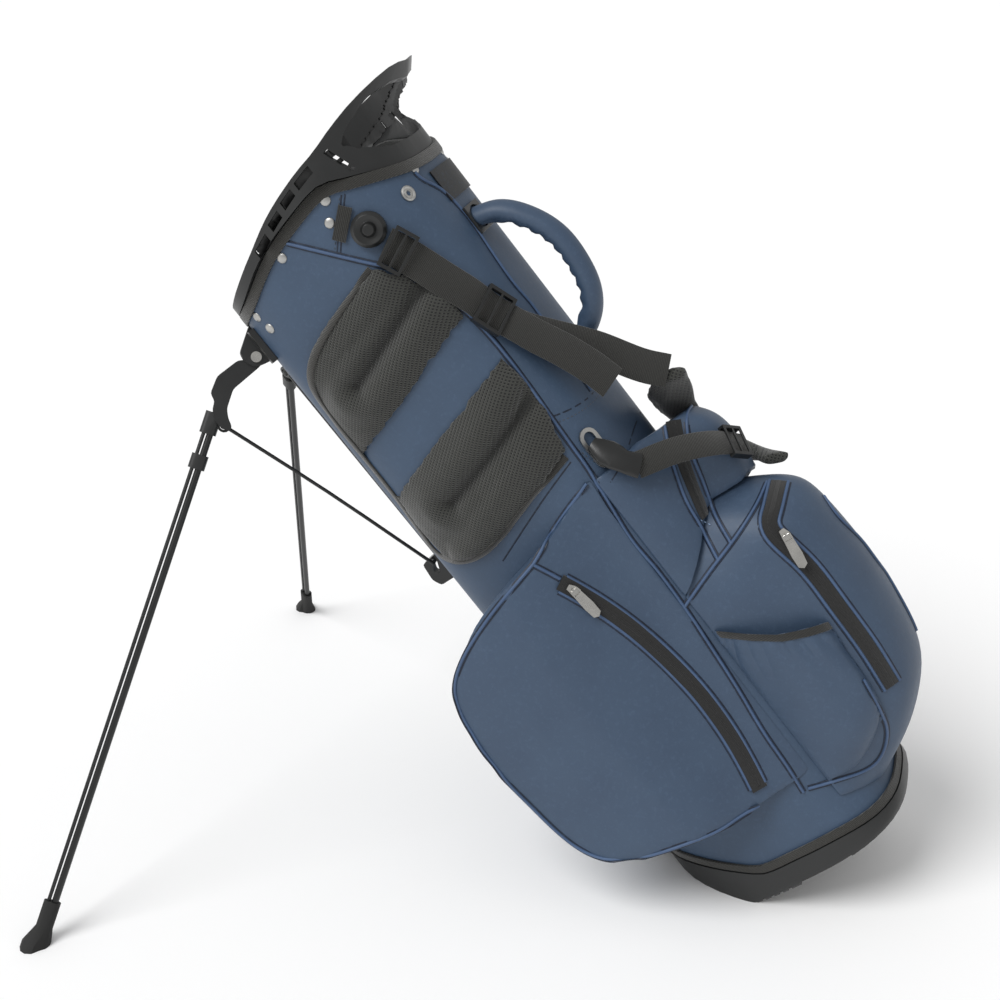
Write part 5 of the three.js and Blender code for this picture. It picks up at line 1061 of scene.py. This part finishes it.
APPAREL_EDGE = [(533.3, 564.2), (512.7, 588.5), (494.5, 610.3), (478.8, 632.1), (465.4, 653.9),
    (457, 673.3), (453.3, 690.3), (455.8, 707.2), (466.7, 729), (483.6, 753.3), (505.4, 779.9),
    (529.7, 804.2), (553.9, 828.4), (575.7, 846.6), (595.1, 856.8), (614.5, 861.1), (633.9, 859.4),
    (658.1, 853.1), (694.5, 840.5), (730.8, 826), (762.3, 810.2)]
BOTH_SIDES = ("MainSeam", "ApparelTop", "ApparelEdge", "ApparelZipLeft", "ApparelZipRight")


def pipe(name, route):
    """A cordlet with a dark strip of painted shade on both sides, along a line laid on the bag."""
    cord, fold = round_section(PIPING_RADIUS), flat_section(SHADED_GROOVE_WIDTH, SHADE_STRIP_THICK)
    lay(name + "Piping", route, CORD_LIFT, cord, piping_leather_painted_highlight)
    # The strip under the cordlet is painted shade: a dark sheet where the panels fold into the seam.
    lay(name + "Fold", route, SHADE_STRIP_LIFT, fold, seam_shadow)


routes = {name: trace(pixels, near_skins) for name, pixels in PIPED.items()}
apparel_skin = skin(soft["near_apparel_pocket"])
routes["ApparelEdge"] = trace(APPAREL_EDGE, apparel_skin, passes=SMOOTH_EDGE)
ball_route = zip_routes["ball_zip"][1]
for side, word in ((-1, "Left"), (1, "Right")):
    routes["BallZip" + word] = beside(ball_route, side * (TAPE_WIDTH / 2 + PIPING_RADIUS), ball_skin)
    routes["ApparelZip" + word] = beside(zip_middles["near"], side * APPAREL_LIP, apparel_skin)
for name, route in routes.items():
    pipe(name, route)
for name in BOTH_SIDES:
    pipe("Far" + name, mirrored(routes[name]))
print(len(routes) + len(BOTH_SIDES), "runs of piping")

# %% [markdown]
# ## Stitches
# A row of thread beside a seam holds its folds down. Each stitch is a short bead that dips into the
# leather at both ends; hundreds of them follow curved seams, so they are swept in mesh code as well.

# %% Stitches
STITCH = 3.2 * MM
STITCH_GAP = 1.4 * MM
STITCH_RADIUS = 0.45 * MM
STITCH_SHARES = np.array([0.45, 1, 0.45])[:, None, None]
STITCH_RISE = 0.4
STITCH_SIDES = 6


def stitches(name, route, material):
    """A row of stitches along a line laid on the bag, as one piece."""
    rows = evenly(np.hstack(route), (STITCH + STITCH_GAP) / 4)
    beads = []
    for start in range(0, len(rows) - 3, 4):
        places = rows[start:start + 3, :3] + rows[start:start + 3, 3:] * STITCH_RADIUS * STITCH_RISE
        beads.append(sweep(places, units(rows[start:start + 3, 3:]),
                           round_section(STITCH_RADIUS, STITCH_SIDES) * STITCH_SHARES))
    return dress(mesh_piece(name, beads), material)


STITCHED = {"CrossStitches": (dark_thread, (554, 423.6), (572.4, 416.3), (591.9, 403.3), (603.6, 389.2)),
            "SlotStitches": (dark_thread, (578.2, 449.5), (588, 457.5), (597.6, 464.4)),
            "ValuablesStitches": (thread, (700.6, 520), (707.6, 523.5), (714.6, 527)),
            "FlapStitches": (dark_thread, (718.8, 416.5), (714, 433), (710.4, 450))}
HUB_STITCHES = [(339.3, 198), (336.8, 224), (334.6, 252)]
for name, (material, *pixels) in STITCHED.items():
    stitches(name, trace(pixels, near_skins), material)
# Each seam below is a thin dark strip laid flat on the leather: painted shade in the crease where the panels
# meet.
SEAMS = {"SideSeam": [(570.8, 462), (548, 493), (525, 527), (502.8, 561)],
         "PocketSeam": [(622, 464), (612, 480), (601, 495)],
         "FlapSeam": [(640.3, 412.3), (634, 428), (629, 444.5)],
         "HubSeamLeft": [(341.5, 195), (339, 222), (337, 254)],
         "HubSeamRight": [(345, 194), (342.5, 222), (340.5, 254)],
         "CrossSeam": [(550, 417.6), (570.4, 409.3), (588.9, 397.3), (599.6, 384.2)]}
SEAM_WIDTH = 1.7 * MM
SEAM_THICK = 0.5 * MM
for name, pixels in SEAMS.items():
    seam_section = flat_section(SEAM_WIDTH, SEAM_THICK)
    lay(name, trace(pixels, near_skins), 0, seam_section, seam_shadow)
stitches("HubStitches", trace(HUB_STITCHES, near_skins), dark_thread)
print("stitches and seams made")

# %% [markdown]
# ## Rivets and snaps
# Steel rivets with domed heads hold the cuff to the tube. The two snaps are where a rain hood is
# buttoned on: a ring with a hole in its middle. Both are turned parts, made here from a round primitive.

# %% Rivets and snaps
RIVET_RADIUS = 5.3 * MM
RIVET_RISE = 2.2 * MM
SNAP_RADIUS = 7.6 * MM
RIVETS = [(325.3, 200.5), (329.8, 223.1), (281.9, 258.1), (414.5, 168.5), (257, 317), (270, 328.5)]
SNAP = (408.3, 193.4)
SNAP_DEPTH = 1.6 * MM
SNAP_STEPS = ((1.5, 0.9), (1.6, -0.9), (0.7, 0.5), (1.0, 0), (0.7, -1.6))


def pinned(name, make, pixel):
    """Puts a round part made at the origin on the bag where a pixel shows it, and on the far side."""
    place, normal = first_hit(CAMERA_PLACE, sight(*pixel), near_skins)[:2]
    for side, word in ((1, "Near"), (-1, "Far")):
        piece = make()
        piece.name = word + name
        facing = Vector((normal.x, normal.y * side, normal.z))
        spot = Vector((place.x, place.y * side, place.z))
        turn = facing.to_track_quat("Z", "Y").to_matrix().to_4x4()
        piece.data.transform(Matrix.Translation(spot) @ turn)
        dress(piece, rivet_steel)


def rivet():
    """A domed head: a ball made flat, its lower half sunk in the leather."""
    bpy.ops.mesh.primitive_uv_sphere_add(segments=24, ring_count=12, radius=RIVET_RADIUS)
    edit((bpy.ops.transform.resize, {"value": (1, 1, RIVET_RISE / RIVET_RADIUS)}))
    bpy.ops.object.shade_smooth()
    return bpy.context.object


def snap():
    """A ring, a raised rim inside it and the hole that the stud goes into."""
    bpy.ops.mesh.primitive_cylinder_add(vertices=32, radius=SNAP_RADIUS, depth=SNAP_DEPTH)
    piece = bpy.context.object
    edit((bpy.ops.mesh.select_all, {"action": "DESELECT"}))
    for face in piece.data.polygons:
        face.select = face.normal.z > 0.9
    bpy.ops.object.mode_set(mode="EDIT")
    for inset, rise in SNAP_STEPS:
        bpy.ops.mesh.inset(thickness=inset * MM)
        bpy.ops.transform.translate(value=(0, 0, rise * MM))
    bpy.ops.object.mode_set(mode="OBJECT")
    bpy.ops.object.shade_smooth_by_angle(angle=SWEPT_CORNER)
    return piece


for number, pixel in enumerate(RIVETS):
    pinned(f"Rivet{number}", rivet, pixel)
pinned("Snap", snap, SNAP)
print(2 * len(RIVETS), "rivets and 2 snaps")

# %% [markdown]
# ## Studio
# The photograph was taken on a white sweep with soft light from the upper left. A sun with a wide angle
# gives the same soft shadow, the plain sky fills the rest, and the two together light a white floor to
# about one, so that a colour renders about as it is written.

# %% Floor and light
FLOOR_SIZE = 60
KEY_TURN = (math.radians(38), math.radians(-14), math.radians(-24))
KEY_STRENGTH = 2.05
KEY_SOFTNESS = math.radians(34)
SKY_FILL = 0.58
bpy.ops.mesh.primitive_plane_add(size=FLOOR_SIZE, location=(0, 0, 0))
floor = bpy.context.object
floor.name = "StudioFloor"
paper, tree, shader = new_material("studio paper", {"Roughness": 0.9})
cloudy = noise(tree, object_place(tree), 0.8, detail=2)
connect(tree, shader, {"Base Color": mix_colours(tree, cloudy, "#fafafa", "#fdfdfd")})
floor.data.materials.append(paper)
bpy.ops.object.light_add(type="SUN", rotation=KEY_TURN)
key = bpy.context.object
key.data.energy = KEY_STRENGTH
key.data.angle = KEY_SOFTNESS
world = bpy.data.worlds.new("studio")
scene.world = world
world.use_nodes = True
sky = world.node_tree.nodes["Background"]
sky.inputs["Color"].default_value = (1, 1, 1, 1)
seen = add(world.node_tree, "LightPath").outputs["Is Camera Ray"]
level = add(world.node_tree, "MapRange", {3: SKY_FILL, 4: 1.0}, {0: seen}).outputs[0]
connect(world.node_tree, sky, {"Strength": level})
scene.view_settings.view_transform = "Standard"
print("studio ready")
